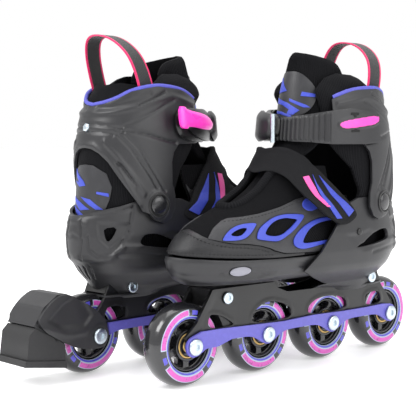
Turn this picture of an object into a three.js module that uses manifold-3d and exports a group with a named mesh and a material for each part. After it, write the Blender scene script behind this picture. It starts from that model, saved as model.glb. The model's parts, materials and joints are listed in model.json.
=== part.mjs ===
// A pair of adjustable inline skates: a right skate with a heel brake and a left skate without one.
// Units are millimetres, +Z up. Each skate is built in its own frame: X towards the toe, Y to the
// wearer's left, Z up from the ground, origin under the middle of the wheelbase.
import * as THREE from 'three';
import { mergeVertices } from 'three/addons/utils/BufferGeometryUtils.js';
import Module from 'manifold-3d';

const wasm = await Module();
wasm.setup();

// ---- driving dimensions ----
const WHEEL_RADIUS = 36;
const WHEEL_WIDTH = 24;
const WHEEL_GAP = 14; // between the treads of two neighbouring wheels
const WHEEL_CLEARANCE = 2; // from a tread to whatever is fixed around it
const HUB_RADIUS = 22;
const AXLE_RADIUS = 4;
const AXLE_HEAD_RADIUS = 7.5;
const AXLE_HEAD_THICKNESS = 2.5;
const FRAME_WALL = 2.8;
const RAIL_THICKNESS = 2.2;
const DECK_RISE = 10; // from the wheel tops to the deck where the boot sits
const SOLE_THICKNESS = 2.9;
const BOOT_LENGTH = 308; // heel to toe over the shells
const BOOT_HALF = 49; // half the width of the heel shell at its widest
const CUFF_HEIGHT = 179; // from the deck to the cuff's highest point
const SHELL_WALL = 3.5;
const CUFF_WALL = 3.2;
const UPPER_WALL = 3.5;
const LINER_WALL = 6;
const STRAP_THICKNESS = 3;
const LADDER_THICKNESS = 2.6;
const BUCKLE_THICKNESS = 6.4;
const LEVER_THICKNESS = 3.2;
const PIVOT_RADIUS = 17; // of the round boss on the cuff
const PIVOT_PIN_RADIUS = 5;
const PIVOT_PIN_LENGTH = 9.9;
const BUTTON_DEPTH = 7;
const BUTTON_STANDS_OUT = 0.4; // from the toe shell's side
const LOOP_WIDTH = 18;
const LOOP_THICKNESS = 2;
const LOOP_LEAN = 0.28; // towards the heel, per unit of height
const TONGUE_WALL = 5;
const BRAKE_ARM_THICKNESS = 3.4;
const BRAKE_PAD_HALF = 20;
const GAP = 0.3; // between fixed neighbours
const RUNNING_GAP = 1; // between pieces that move against each other
const CUFF_CLEARANCE = 0.7; // from the heel shell to the inside of the cuff
const OVAL_POWER = 2.6; // squareness of the boot's flat sections
const WHEEL_SIDES = 16; // flats around the tread, one of them on the ground
const PAIR_OFFSET = [26, -109]; // from the right skate to the left one
const PAIR_TURN = 175.5; // degrees between the two skates' headings

// ---- sizes that follow ----
const WHEEL_PITCH = 2 * WHEEL_RADIUS + WHEEL_GAP;
const AXLE_X = [1.5, 0.5, -0.5, -1.5].map((step) => step * WHEEL_PITCH);
const AXLE_Z = WHEEL_RADIUS;
const DECK = 2 * WHEEL_RADIUS + DECK_RISE;
const FRAME_INNER = WHEEL_WIDTH / 2 + 1.2;
const FRAME_OUTER = FRAME_INNER + FRAME_WALL;
const RAIL_OUTER = FRAME_OUTER + GAP + RAIL_THICKNESS;
const SKIRT_INNER = FRAME_OUTER + GAP;
const FLOOR = DECK + GAP + SOLE_THICKNESS;
const TOE_FLOOR = FLOOR + GAP + SHELL_WALL;

// Stations along the boot and heights above the deck, for a boot of the driving length and height.
const along = (x) => (x * BOOT_LENGTH) / 308;
const above = (height) => DECK + (height * CUFF_HEIGHT) / 179;
const PIVOT = { x: along(-78), z: above(68) };

// ---- solids ----
function toSolid(geometry) {
  const bare = geometry.clone();
  bare.deleteAttribute('normal');
  bare.deleteAttribute('uv');
  const merged = mergeVertices(bare, 1e-4);
  const mesh = new wasm.Mesh({
    numProp: 3,
    vertProperties: new Float32Array(merged.attributes.position.array),
    triVerts: new Uint32Array(merged.index.array),
  });
  return new wasm.Manifold(mesh);
}

function toGeometry(solid) {
  const mesh = solid.getMesh();
  const geometry = new THREE.BufferGeometry();
  geometry.setAttribute('position', new THREE.BufferAttribute(mesh.vertProperties, 3));
  geometry.setIndex(new THREE.BufferAttribute(mesh.triVerts, 1));
  geometry.computeVertexNormals();
  return geometry;
}

// A box between two corners.
function block(low, high) {
  const size = high.map((value, axis) => value - low[axis]);
  const box = new THREE.BoxGeometry(...size);
  box.translate(...high.map((value, axis) => (value + low[axis]) / 2));
  return toSolid(box);
}

// A side outline of [x, z] points, stretched across from y = from to y = to.
function sideSlab(points, from, to) {
  const shape = new THREE.Shape(points.map(([x, z]) => new THREE.Vector2(x, z)));
  return slabOfShape(shape, from, to);
}

function slabOfShape(shape, from, to) {
  const slab = new THREE.ExtrudeGeometry(shape, {
    depth: to - from,
    bevelEnabled: false,
    curveSegments: 4,
  });
  slab.rotateX(Math.PI / 2);
  slab.translate(0, to, 0);
  return toSolid(slab);
}

// A round bar across the skate.
function crossBar(x, z, radius, from, to, sides = 10) {
  const bar = new THREE.CylinderGeometry(radius, radius, to - from, sides);
  bar.translate(x, (from + to) / 2, z);
  return toSolid(bar);
}

// A closed skin through flat oval sections stacked up a height. Each section has its height z, its
// back, its widest station mid, its front and its half width; grow moves the skin out or in.
function stackedSkin(sections, { grow = 0, sides = 18 } = {}) {
  const skin = new THREE.CylinderGeometry(1, 1, 1, sides, sections.length - 1);
  skin.deleteAttribute('normal');
  skin.deleteAttribute('uv');
  const merged = mergeVertices(skin, 1e-4);
  const position = merged.attributes.position;
  for (let i = 0; i < position.count; i += 1) {
    const row = Math.round((position.getY(i) + 0.5) * (sections.length - 1));
    const { z, back, mid, front, half } = sections[row];
    const cosine = position.getZ(i);
    const sine = position.getX(i);
    const reach = cosine > 0 ? front + grow - mid : mid - back + grow;
    const ahead = Math.sign(cosine) * Math.abs(cosine) ** (2 / OVAL_POWER);
    const aside = Math.sign(sine) * Math.abs(sine) ** (2 / OVAL_POWER);
    const onAxis = Math.hypot(cosine, sine) < 0.5;
    const x = onAxis ? mid : mid + ahead * reach;
    const y = onAxis ? 0 : aside * (half + grow);
    position.setXYZ(i, x, y, z);
  }
  return toSolid(merged);
}

// Turned work about the Y axis, from [radius, y] points.
function turned(points, sides) {
  const profile = points.map(([radius, y]) => new THREE.Vector2(radius, y));
  const lathe = new THREE.LatheGeometry(profile, sides);
  return toSolid(lathe);
}

function joined(first, ...others) {
  return others.reduce((sum, other) => sum.add(other), first);
}

function cut(first, ...others) {
  return others.reduce((rest, other) => rest.subtract(other), first);
}

// ---- the forms that the shells, liner and straps share ----
const section = (height, back, mid, front, half) => ({
  z: above(height),
  back: along(back),
  mid: along(mid),
  front: along(front),
  half,
});

const HEEL_FORM = [
  section(-17, -118, -84, -46, BOOT_HALF - 27),
  section(-12, -130, -80, -34, BOOT_HALF - 25),
  section(-6, -144, -70, 170, BOOT_HALF - 21),
  section(2, -153, -70, 170, BOOT_HALF - 11),
  section(8, -157, -70, 170, BOOT_HALF - 4),
  section(13, -160, -70, 170, BOOT_HALF - 1.5),
  section(26, -162, -70, 170, BOOT_HALF),
  section(43, -160, -70, 170, BOOT_HALF - 0.5),
  section(60, -156, -70, 170, BOOT_HALF - 2.5),
  section(76, -152, -70, 170, BOOT_HALF - 3.5),
];

const TOE_FORM = [
  { ...section(0, -95, 75, 127, BOOT_HALF - 17), z: FLOOR + GAP },
  section(8, -95, 75, 138, BOOT_HALF - 11),
  section(16, -95, 75, 144, BOOT_HALF - 7),
  section(24, -95, 75, 146, BOOT_HALF - 5),
  section(30, -95, 75, 145.5, BOOT_HALF - 5),
  section(37, -95, 75, 143.5, BOOT_HALF - 6),
];

const UPPER_FORM = [
  section(20, -110, 70, 143, BOOT_HALF - 6),
  section(35, -110, 70, 142, BOOT_HALF - 6),
  section(45, -110, 62, 136, BOOT_HALF - 8),
  section(53, -110, 55, 128, BOOT_HALF - 10),
  section(63, -110, 45, 114, BOOT_HALF - 12.5),
  section(73, -110, 35, 99, BOOT_HALF - 15),
  section(83, -110, 25, 83, BOOT_HALF - 18),
  section(93, -110, 18, 68, BOOT_HALF - 21),
  section(108, -110, 8, 52, BOOT_HALF - 25),
];

const CUFF_FORM = [
  section(45, -150, -78, 30, BOOT_HALF + 1.6),
  section(80, -150, -78, 30, BOOT_HALF + 1.6),
  section(105, -150, -78, 30, BOOT_HALF + 0.8),
  section(123, -152, -78, 28, BOOT_HALF),
  section(140, -149, -78, 27, BOOT_HALF - 1),
  section(161, -142, -78, 24, BOOT_HALF - 3),
  section(185, -137, -78, 22, BOOT_HALF - 5),
];

const insideCuff = (height, index) => ({
  ...CUFF_FORM[index],
  z: above(height),
  back: CUFF_FORM[index].back + CUFF_WALL + RUNNING_GAP,
  front: CUFF_FORM[index].front - CUFF_WALL - RUNNING_GAP,
  half: CUFF_FORM[index].half - CUFF_WALL - RUNNING_GAP,
});

const COLLAR_FORM = [
  insideCuff(80, 1),
  insideCuff(123, 3),
  insideCuff(156, 5),
  section(166, -134, -74, 26, BOOT_HALF - 8.5),
  section(177, -126, -70, 28, BOOT_HALF - 10),
  section(185, -118, -70, 28, BOOT_HALF - 13),
  section(191, -110, -68, 26, BOOT_HALF - 18),
];

const SOCK_FORM = [
  { ...section(0, -138, -60, 118, BOOT_HALF - 20), z: TOE_FLOOR + GAP },
  section(15, -148, -60, 127, BOOT_HALF - 15.2),
  section(28, -151, -60, 129, BOOT_HALF - 13.8),
  section(40, -149, -60, 120, BOOT_HALF - 14.8),
  section(53, -146, -60, 100, BOOT_HALF - 17.2),
  section(68, -145, -60, 66, BOOT_HALF - 18.5),
  section(88, -144, -60, 44, BOOT_HALF - 16),
];

const TONGUE_FORM = [
  section(106, -60, -30, 40, BOOT_HALF - 23),
  section(118, -60, -30, 27, BOOT_HALF - 21),
  section(126, -62, -32, 21, BOOT_HALF - 20),
  section(165, -70, -36, 13, BOOT_HALF - 20),
  section(180, -72, -38, 9, BOOT_HALF - 23),
  section(210, -76, -40, 2, BOOT_HALF - 29),
];

const STRAP_FORM = [
  section(40, -100, 0, 96, BOOT_HALF + 1),
  section(56, -100, 0, 96, BOOT_HALF + 0.5),
  section(71, -92, 6, 95, BOOT_HALF - 0.6),
  section(78, -90, 10, 93, BOOT_HALF - 7),
  section(93, -80, 10, 71, BOOT_HALF - 15),
  section(108, -70, 8, 54, BOOT_HALF - 22),
  section(120, -60, 5, 45, BOOT_HALF - 26),
  section(132, -50, 0, 36, BOOT_HALF - 30),
];

const outline = (points) => points.map(([x, height]) => [along(x), above(height)]);
const WIDE = 3 * BOOT_HALF;
const acrossAll = (points) => sideSlab(outline(points), -WIDE, WIDE);

// ---- wheels, axles and chassis ----
function tyre() {
  const crown = WHEEL_RADIUS / Math.cos(Math.PI / WHEEL_SIDES);
  const bore = HUB_RADIUS + GAP;
  const halfWidth = WHEEL_WIDTH / 2;
  const crownHalf = WHEEL_WIDTH / 2 - 8;
  return turned([
    [bore, -halfWidth + 3],
    [bore + 4, -halfWidth],
    [crown - 5, -halfWidth],
    [crown, -crownHalf],
    [crown, crownHalf],
    [crown - 5, halfWidth],
    [bore + 4, halfWidth],
    [bore, halfWidth - 3],
    [bore, -halfWidth + 3],
  ], WHEEL_SIDES).rotate([0, 180 / WHEEL_SIDES, 0]);
}

function hub() {
  const bore = AXLE_RADIUS + GAP;
  const halfWidth = FRAME_INNER - GAP;
  const rim = WHEEL_WIDTH / 2 - 3;
  return turned([
    [bore, -halfWidth],
    [bore + 3, -halfWidth],
    [bore + 7, -rim],
    [HUB_RADIUS, -rim],
    [HUB_RADIUS, rim],
    [bore + 7, rim],
    [bore + 3, halfWidth],
    [bore, halfWidth],
    [bore, -halfWidth],
  ], WHEEL_SIDES).rotate([0, 180 / WHEEL_SIDES, 0]);
}

// A shaft with a low round head at each end, each head resting on the outermost plate.
function axle(seat) {
  const head = seat + GAP;
  const end = head + AXLE_HEAD_THICKNESS;
  return turned([
    [0, -end],
    [AXLE_HEAD_RADIUS, -end],
    [AXLE_HEAD_RADIUS, -head],
    [AXLE_RADIUS, -head],
    [AXLE_RADIUS, head],
    [AXLE_HEAD_RADIUS, head],
    [AXLE_HEAD_RADIUS, end],
    [0, end],
  ], 8);
}

const axleBores = (halfWidth) =>
  AXLE_X.map((x) => crossBar(x, AXLE_Z, AXLE_RADIUS + GAP, -halfWidth, halfWidth));

// An arched window over a wheel, between x = left and x = right.
function archWindow(left, right, sill, crown) {
  const corner = (right - left) * 0.3;
  return sideSlab([
    [left, sill],
    [right, sill],
    [right - corner * 0.25, sill + (crown - sill) * 0.65],
    [right - corner, crown],
    [left + corner, crown],
    [left + corner * 0.25, sill + (crown - sill) * 0.65],
  ], -FRAME_OUTER - 1, FRAME_OUTER + 1);
}

function frame() {
  const [first, second, third, fourth] = AXLE_X;
  const lug = 9.5;
  const waist = DECK - 11;
  const between = (second + third) / 2;
  const sides = sideSlab([
    [first + 8, AXLE_Z - 5],
    [first + 8.5, AXLE_Z + 8],
    [first - 6, AXLE_Z + 20],
    [first - 24, DECK],
    [second - 14, DECK],
    [between + 16, waist],
    [between - 20, waist],
    [third - 16, DECK],
    [fourth + 18, DECK],
    [fourth + 8, AXLE_Z + 24],
    [fourth - 8, AXLE_Z + 8],
    [fourth - 8, AXLE_Z - 5],
  ], -FRAME_OUTER, FRAME_OUTER);
  const lugs = AXLE_X.map((x) => crossBar(x, AXLE_Z, lug, -FRAME_OUTER, FRAME_OUTER));
  const wheelRoom = AXLE_X.map((x) =>
    crossBar(x, AXLE_Z, WHEEL_RADIUS + WHEEL_CLEARANCE, -FRAME_INNER, FRAME_INNER, 16));
  const reach = first + 2 * WHEEL_RADIUS;
  const belly = block([-reach, -FRAME_INNER, 0], [reach, FRAME_INNER, AXLE_Z + 21]);
  const middle = block(
    [third - 9, -FRAME_INNER, AXLE_Z],
    [second - 19, FRAME_INNER, DECK + 1],
  );
  const sill = AXLE_Z + 13;
  const windows = [
    sideSlab([
      [first - 13, sill + 1],
      [first - 21, sill + 12],
      [first - 31, sill + 10],
      [first - 47, sill + 1],
    ], -FRAME_OUTER - 1, FRAME_OUTER + 1),
    archWindow(second - 31, second + 17, sill, sill + 17),
    archWindow(third - 22, third + 30, sill, sill + 14),
    sideSlab([
      [fourth + 40, sill + 1],
      [fourth + 38, sill + 9],
      [fourth + 22, sill + 9],
      [fourth + 14, sill + 1],
    ], -FRAME_OUTER - 1, FRAME_OUTER + 1),
  ];
  return cut(joined(sides, ...lugs), belly, middle, ...wheelRoom, ...windows,
    ...axleBores(FRAME_OUTER + 1));
}

// A flat strip along all four axles, deeper at each axle; side is 1 for left and -1 for right.
function rail(side, rearTrim) {
  const lug = 8.5;
  const [first, second, third, fourth] = AXLE_X;
  const top = AXLE_Z + 10;
  const belly = AXLE_Z + 1.5;
  const face = side > 0 ? FRAME_OUTER + GAP : -RAIL_OUTER;
  const strip = sideSlab([
    [first + 10, AXLE_Z],
    [first + 8, top + 0.5],
    [second, top],
    [third, top - 0.5],
    [fourth - 5, top - 1.5],
    [fourth - 8, AXLE_Z],
    [fourth + 18, belly],
    [third - 22, belly],
    [third, AXLE_Z - 6.5],
    [third + 24, belly],
    [second - 24, belly],
    [second, AXLE_Z - 6.5],
    [second + 24, belly],
    [first - 28, AXLE_Z - 4.5],
    [first, AXLE_Z - 6.5],
  ], face, face + RAIL_THICKNESS);
  const lugs = [first, second, third, fourth].map((x) =>
    crossBar(x, AXLE_Z, lug, face, face + RAIL_THICKNESS));
  const whole = cut(joined(strip, ...lugs), ...axleBores(WIDE));
  return rearTrim ? whole.subtract(rearTrim) : whole;
}

// ---- boot shells ----
const TOE_TOP_EDGE = [[170, 37], [140, 35], [100, 30.5], [59, 28], [18, 26], [-60, 26]];

function heelShell() {
  const side = acrossAll([
    [-175, 62], [-158, 62.5], [-150, 63.5], [-120, 70], [-104, 74], [-88, 76], [-50, 74],
    [-35, 69], [-22, 55], [0, 28], [21, 11.5], [8, 6], [-27, -6], [-48, -17], [-175, -17],
  ]);
  const frameRoom = block(
    [along(-190), -SKIRT_INNER, 0],
    [along(60), SKIRT_INNER, DECK + GAP],
  );
  const inner = stackedSkin(HEEL_FORM.slice(3), { grow: -SHELL_WALL });
  const insideFloor = block([-WIDE * 2, -WIDE, FLOOR], [WIDE * 2, WIDE, above(90)]);
  const plateEnd = AXLE_X[0] - 26;
  const solePlate = block(
    [along(-60), -20, DECK + GAP],
    [plateEnd, 20, FLOOR],
  );
  const wall = cut(stackedSkin(HEEL_FORM).intersect(side), frameRoom,
    inner.intersect(insideFloor));
  return joined(wall, solePlate, ...pivotPins());
}

// The two short pins that the cuff turns on, one on each side of the heel shell.
function pivotPins() {
  const end = BOOT_HALF + 1.6 + CUFF_WALL - 1.4;
  const seat = end - PIVOT_PIN_LENGTH;
  return [-1, 1].map((side) => crossBar(
    PIVOT.x,
    PIVOT.z,
    PIVOT_PIN_RADIUS,
    Math.min(side * seat, side * end),
    Math.max(side * seat, side * end),
  ));
}

function buttonOutline(margin) {
  const shape = new THREE.Shape();
  shape.absellipse(along(97), above(17), 11 + margin, 4.2 + margin, 0, 2 * Math.PI);
  return shape;
}

function toeShell(side) {
  const trim = acrossAll([...TOE_TOP_EDGE, [-60, -10], [170, -10]]);
  const rearTrim = block([-WIDE * 2, -WIDE, 0], [along(-25), WIDE, above(90)]);
  const inner = stackedSkin(TOE_FORM, { grow: -SHELL_WALL });
  const insideFloor = block([-WIDE * 2, -WIDE, TOE_FLOOR], [WIDE * 2, WIDE, above(90)]);
  const outer = BOOT_HALF + 8;
  const buttonRoom = slabOfShape(buttonOutline(GAP), side > 0 ? 0 : -outer, side > 0 ? outer : 0);
  return cut(stackedSkin(TOE_FORM).intersect(trim), rearTrim, inner.intersect(insideFloor),
    buttonRoom);
}

function sizeButton(side) {
  const face = BOOT_HALF - 5 + BUTTON_STANDS_OUT;
  const from = side > 0 ? face - BUTTON_DEPTH : -face;
  return slabOfShape(buttonOutline(0), from, from + BUTTON_DEPTH);
}

function upper() {
  const lowerEdge = outline(TOE_TOP_EDGE).map(([x, z]) => [x, z + GAP]);
  const upperEdge = outline([[-30, 58], [-24, 68], [6, 80], [30, 96], [60, 104], [170, 104]]);
  const side = sideSlab([...lowerEdge, ...upperEdge], -WIDE, WIDE);
  const rearTrim = block([-WIDE * 2, -WIDE, 0], [along(-28), WIDE, above(120)]);
  const throat = block([-WIDE, -16, above(60)], [along(97), 16, above(120)]);
  const inner = stackedSkin(UPPER_FORM, { grow: -UPPER_WALL });
  return cut(stackedSkin(UPPER_FORM).intersect(side), rearTrim, inner, throat);
}

function cuff() {
  const side = acrossAll([
    [-165, 156], [-146, 158], [-125, 167], [-97, 175], [-74, 179], [-47, 175], [-29, 167],
    [-8, 159], [12, 154], [12, 124], [-42, 123], [-55, 117], [-63, 106], [-66, 96], [-61, 84],
    [-62, 68], [-78, 60], [-94, 68], [-106, 75], [-119, 96], [-136, 111], [-165, 120],
  ]);
  const bosses = stackedSkin(CUFF_FORM).intersect(
    crossBar(PIVOT.x, PIVOT.z, PIVOT_RADIUS, -WIDE, WIDE, 18),
  );
  const inner = stackedSkin(CUFF_FORM, { grow: -CUFF_WALL });
  const heelRoom = stackedSkin(HEEL_FORM, { grow: CUFF_CLEARANCE });
  const pinRoom = crossBar(PIVOT.x, PIVOT.z, PIVOT_PIN_RADIUS + GAP, -WIDE, WIDE, 16);
  return cut(joined(stackedSkin(CUFF_FORM).intersect(side), bosses), inner, heelRoom, pinRoom);
}

// ---- soft pieces ----
function linerFoot() {
  const side = acrossAll([
    [-170, 88], [-78, 78], [-50, 72], [-28, 66], [170, 66], [170, -5], [-170, -5],
  ]);
  const foot = stackedSkin(SOCK_FORM.slice(1), { grow: -LINER_WALL, sides: 16 });
  return cut(stackedSkin(SOCK_FORM, { sides: 16 }).intersect(side), foot);
}

function linerCuff() {
  const side = acrossAll([
    [-170, 97], [-100, 88], [-78, 86], [-50, 98], [-20, 116], [-6, 128], [-8, 150], [0, 168],
    [-4, 179], [-20, 186], [-50, 189.5], [-112, 189.5], [-170, 189.5],
  ]);
  const ankle = stackedSkin(COLLAR_FORM, { grow: -LINER_WALL, sides: 16 });
  return cut(stackedSkin(COLLAR_FORM, { sides: 16 }).intersect(side), ankle);
}

function tongueLower() {
  const side = acrossAll([[22, 88], [36, 97], [46, 97], [112, 60], [88, 52], [40, 78]]);
  const face = -UPPER_WALL - RUNNING_GAP;
  const outer = stackedSkin(UPPER_FORM, { grow: face, sides: 16 });
  const inner = stackedSkin(UPPER_FORM, { grow: face - TONGUE_WALL, sides: 16 });
  const width = block([-WIDE, -19, 0], [WIDE * 2, 19, above(200)]);
  return outer.subtract(inner).intersect(side).intersect(width);
}

function tongueTop() {
  const side = acrossAll([
    [0, 112], [60, 112], [60, 212], [-2, 208.5], [-30, 204], [-56, 198], [-62, 188],
    [-55, 172], [-40, 150], [-20, 128],
  ]);
  const outer = stackedSkin(TONGUE_FORM, { sides: 16 });
  const inner = stackedSkin(TONGUE_FORM, { grow: -TONGUE_WALL, sides: 16 });
  return outer.subtract(inner).intersect(side);
}

function footStrap(side) {
  const band = acrossAll([[-21, 48], [-37, 70], [38, 118], [64, 118], [64, 106]]);
  const outer = stackedSkin(STRAP_FORM, { grow: STRAP_THICKNESS, sides: 16 });
  const inner = stackedSkin(STRAP_FORM, { sides: 16 });
  const rootEnd = above(66);
  const belowRoot = side > 0
    ? block([-WIDE, -WIDE, 0], [WIDE, 0, rootEnd])
    : block([-WIDE, 0, 0], [WIDE, WIDE, rootEnd]);
  return cut(outer.intersect(band), inner, belowRoot);
}

// A webbing loop that arches over the back of the collar; its feet lie on the collar's sides.
function pullLoop() {
  const foot = BOOT_HALF - 8.4; // just outside the collar
  const rise = above(224) - above(178);
  const shape = new THREE.Shape();
  shape.absellipse(0, 0, foot + LOOP_THICKNESS, rise, 0, Math.PI, false);
  shape.absellipse(0, 0, foot, rise - LOOP_THICKNESS, Math.PI, 0, true);
  shape.closePath();
  const band = new THREE.ExtrudeGeometry(shape, {
    depth: LOOP_WIDTH,
    bevelEnabled: false,
    curveSegments: 7,
  });
  const lean = new THREE.Matrix4().makeShear(0, 0, 0, 0, -LOOP_LEAN, 0);
  band.applyMatrix4(new THREE.Matrix4().set(0, 0, 1, 0, 1, 0, 0, 0, 0, 1, 0, 0, 0, 0, 0, 1));
  band.applyMatrix4(lean);
  band.translate(along(-98), 0, above(178));
  return toSolid(band);
}

// ---- cuff closure ----
const bandAround = (inner, outer) =>
  stackedSkin(CUFF_FORM, { grow: outer }).subtract(stackedSkin(CUFF_FORM, { grow: inner }));

function ladderStrap() {
  const side = acrossAll([[-66, 128], [-68, 152], [0, 152], [60, 150], [60, 127], [-20, 126]]);
  const rightSide = block([-WIDE, -WIDE, 0], [along(14), 0, above(200)]);
  return cut(bandAround(GAP, GAP + LADDER_THICKNESS).intersect(side), rightSide);
}

function buckleBase() {
  const plate = bandAround(GAP, GAP + LADDER_THICKNESS + 1)
    .intersect(acrossAll([[-60, 130], [-60, 157], [8, 155], [8, 126], [-30, 126]]));
  const body = bandAround(GAP + LADDER_THICKNESS + GAP, GAP + LADDER_THICKNESS + BUCKLE_THICKNESS)
    .intersect(acrossAll([[-44, 134], [-44, 154], [60, 152], [60, 129], [-20, 126]]));
  const leftSide = block([-WIDE, 4, 0], [WIDE, WIDE, above(200)]);
  return cut(joined(plate, body), leftSide);
}

function buckleLever() {
  const seat = GAP + LADDER_THICKNESS + BUCKLE_THICKNESS + GAP;
  const side = acrossAll([
    [-66, 143], [-66, 158], [-60, 158], [-58, 155], [-20, 150], [-12, 146], [-10, 142],
    [-14, 138], [-24, 137], [-60, 142],
  ]);
  const leftSide = block([-WIDE, 0, 0], [WIDE, WIDE, above(200)]);
  return bandAround(seat, seat + LEVER_THICKNESS).intersect(side).subtract(leftSide);
}

// ---- heel brake ----
const BRAKE_REACH = RAIL_OUTER + GAP + BRAKE_ARM_THICKNESS;

function brakeHousing() {
  const rear = AXLE_X[3];
  const tread = rear - WHEEL_RADIUS;
  const treadTop = AXLE_Z + WHEEL_RADIUS;
  const skin = sideSlab([
    [rear + 12, AXLE_Z + 6],
    [rear + 2, AXLE_Z + 22],
    [rear - 14, treadTop - 3],
    [rear - 30, treadTop + 5],
    [tread - 6, treadTop + 5],
    [tread - 22, treadTop - 4],
    [tread - 33, AXLE_Z + 17],
    [tread + 1, AXLE_Z - 3],
    [rear - 20, AXLE_Z - 9],
    [rear, AXLE_Z - 11.5],
    [rear + 9, AXLE_Z - 8],
  ], -BRAKE_REACH, BRAKE_REACH);
  const lug = crossBar(rear, AXLE_Z, 12, -BRAKE_REACH, BRAKE_REACH);
  const frameRoom = block(
    [rear - 13, -RAIL_OUTER - GAP, 0],
    [rear + WIDE, RAIL_OUTER + GAP, DECK * 2],
  );
  const wheelRoom = crossBar(rear, AXLE_Z, WHEEL_RADIUS + WHEEL_CLEARANCE, -FRAME_INNER - 2,
    FRAME_INNER + 2, 16);
  const heelRoom = stackedSkin(HEEL_FORM, { grow: RUNNING_GAP });
  const bore = crossBar(rear, AXLE_Z, AXLE_RADIUS + GAP, -WIDE, WIDE);
  return cut(joined(skin, lug), frameRoom, wheelRoom, heelRoom, bore);
}

function brakePad() {
  const tread = AXLE_X[3] - WHEEL_RADIUS;
  const upperBlock = sideSlab([
    [tread - RUNNING_GAP, AXLE_Z - 2.6],
    [tread - 33, AXLE_Z + 16.2],
    [tread - 38, AXLE_Z + 10],
    [tread - 41, AXLE_Z - 12],
    [tread - RUNNING_GAP, AXLE_Z - 18],
  ], -BRAKE_PAD_HALF, BRAKE_PAD_HALF);
  const flange = sideSlab([
    [tread, AXLE_Z - 17],
    [tread - 42, AXLE_Z - 11],
    [tread - 42, AXLE_Z - 16],
    [tread, AXLE_Z - 23],
  ], -BRAKE_PAD_HALF - 1, BRAKE_PAD_HALF + 1);
  return joined(upperBlock, flange);
}

// ---- finishes ----
const finish = (color, roughness, metalness = 0) =>
  new THREE.MeshStandardMaterial({ color, roughness, metalness });

const SHELL_BLACK = finish(0x1b1b1e, 0.5);
const FRAME_BLACK = finish(0x18181a, 0.4);
const FABRIC_BLACK = finish(0x101013, 0.95);
const LINER_BLACK = finish(0x0d0d10, 0.98);
const RAIL_PURPLE = finish(0x5a55b0, 0.45);
const BUCKLE_PINK = finish(0xe83fb0, 0.35);
const WEBBING_PINK = finish(0xd4245e, 0.85);
const BUTTON_GREY = finish(0x8c8c94, 0.4);
const TYRE_BLACK = finish(0x121214, 0.25);
const HUB_BLACK = finish(0x1c1c20, 0.35);
const ZINC = finish(0xb9c2cc, 0.3, 0.9);
const RUBBER_BLACK = finish(0x17171a, 0.8);

function place(group, name, solid, material, position = [0, 0, 0]) {
  const mesh = new THREE.Mesh(toGeometry(solid), material);
  mesh.name = name;
  mesh.position.set(...position);
  group.add(mesh);
}

// One skate; outside is the side away from the other foot, -1 for the right skate, 1 for the left.
function skate(prefix, outside, hasBrake) {
  const group = new THREE.Group();
  const add = (name, ...rest) => place(group, `${prefix}_${name}`, ...rest);
  add('heel_shell', heelShell(), SHELL_BLACK);
  add('toe_shell', toeShell(outside), SHELL_BLACK);
  add('size_button', sizeButton(outside), BUTTON_GREY);
  add('upper', upper(), FABRIC_BLACK);
  add('foot_strap', footStrap(outside), FABRIC_BLACK);
  add('tongue_lower', tongueLower(), LINER_BLACK);
  add('tongue_top', tongueTop(), LINER_BLACK);
  add('liner_foot', linerFoot(), LINER_BLACK);
  add('liner_cuff', linerCuff(), LINER_BLACK);
  add('cuff', cuff(), SHELL_BLACK);
  add('pull_loop', pullLoop(), WEBBING_PINK);
  add('ladder_strap', ladderStrap(), SHELL_BLACK);
  add('buckle_base', buckleBase(), SHELL_BLACK);
  add('buckle_lever', buckleLever(), BUCKLE_PINK);
  add('frame', frame(), FRAME_BLACK);
  add('rail_left', rail(1), RAIL_PURPLE);
  add('rail_right', rail(-1), RAIL_PURPLE);
  AXLE_X.forEach((x, index) => {
    const number = index + 1;
    const isBraked = hasBrake && number === AXLE_X.length;
    add(`axle_${number}`, axle(isBraked ? BRAKE_REACH : RAIL_OUTER), ZINC, [x, 0, AXLE_Z]);
    add(`hub_${number}`, hub(), HUB_BLACK, [x, 0, AXLE_Z]);
    add(`tyre_${number}`, tyre(), TYRE_BLACK, [x, 0, AXLE_Z]);
  });
  if (hasBrake) {
    add('brake_housing', brakeHousing(), SHELL_BLACK);
    add('brake_pad', brakePad(), RUBBER_BLACK);
  }
  return group;
}

// ---- the pair, centred over the middle of its footprint ----
const pair = new THREE.Group();
const right = skate('right', -1, true);
const left = skate('left', 1, false);
left.position.set(PAIR_OFFSET[0], PAIR_OFFSET[1], 0);
left.rotation.z = THREE.MathUtils.degToRad(PAIR_TURN);
pair.add(right, left);
const footprint = new THREE.Box3().setFromObject(pair, true).getCenter(new THREE.Vector3());
pair.position.set(-footprint.x, -footprint.y, 0);

export default pair;
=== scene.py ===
"""Looks for a pair of adjustable inline skates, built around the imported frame.

Each skate's pieces are drawn in its own frame, in millimetres: X towards the toe, Y to the wearer's
left, Z up from the ground, origin under the middle of the wheelbase. A Skate's place turns that
frame into the row frame, in metres.
"""

import json
import logging
import math
from dataclasses import dataclass
from enum import Enum
from typing import Any, Callable, Iterable, Optional, Sequence

import bpy
import numpy as np
from mathutils import Matrix, Vector
from mathutils.geometry import delaunay_2d_cdt

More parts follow.
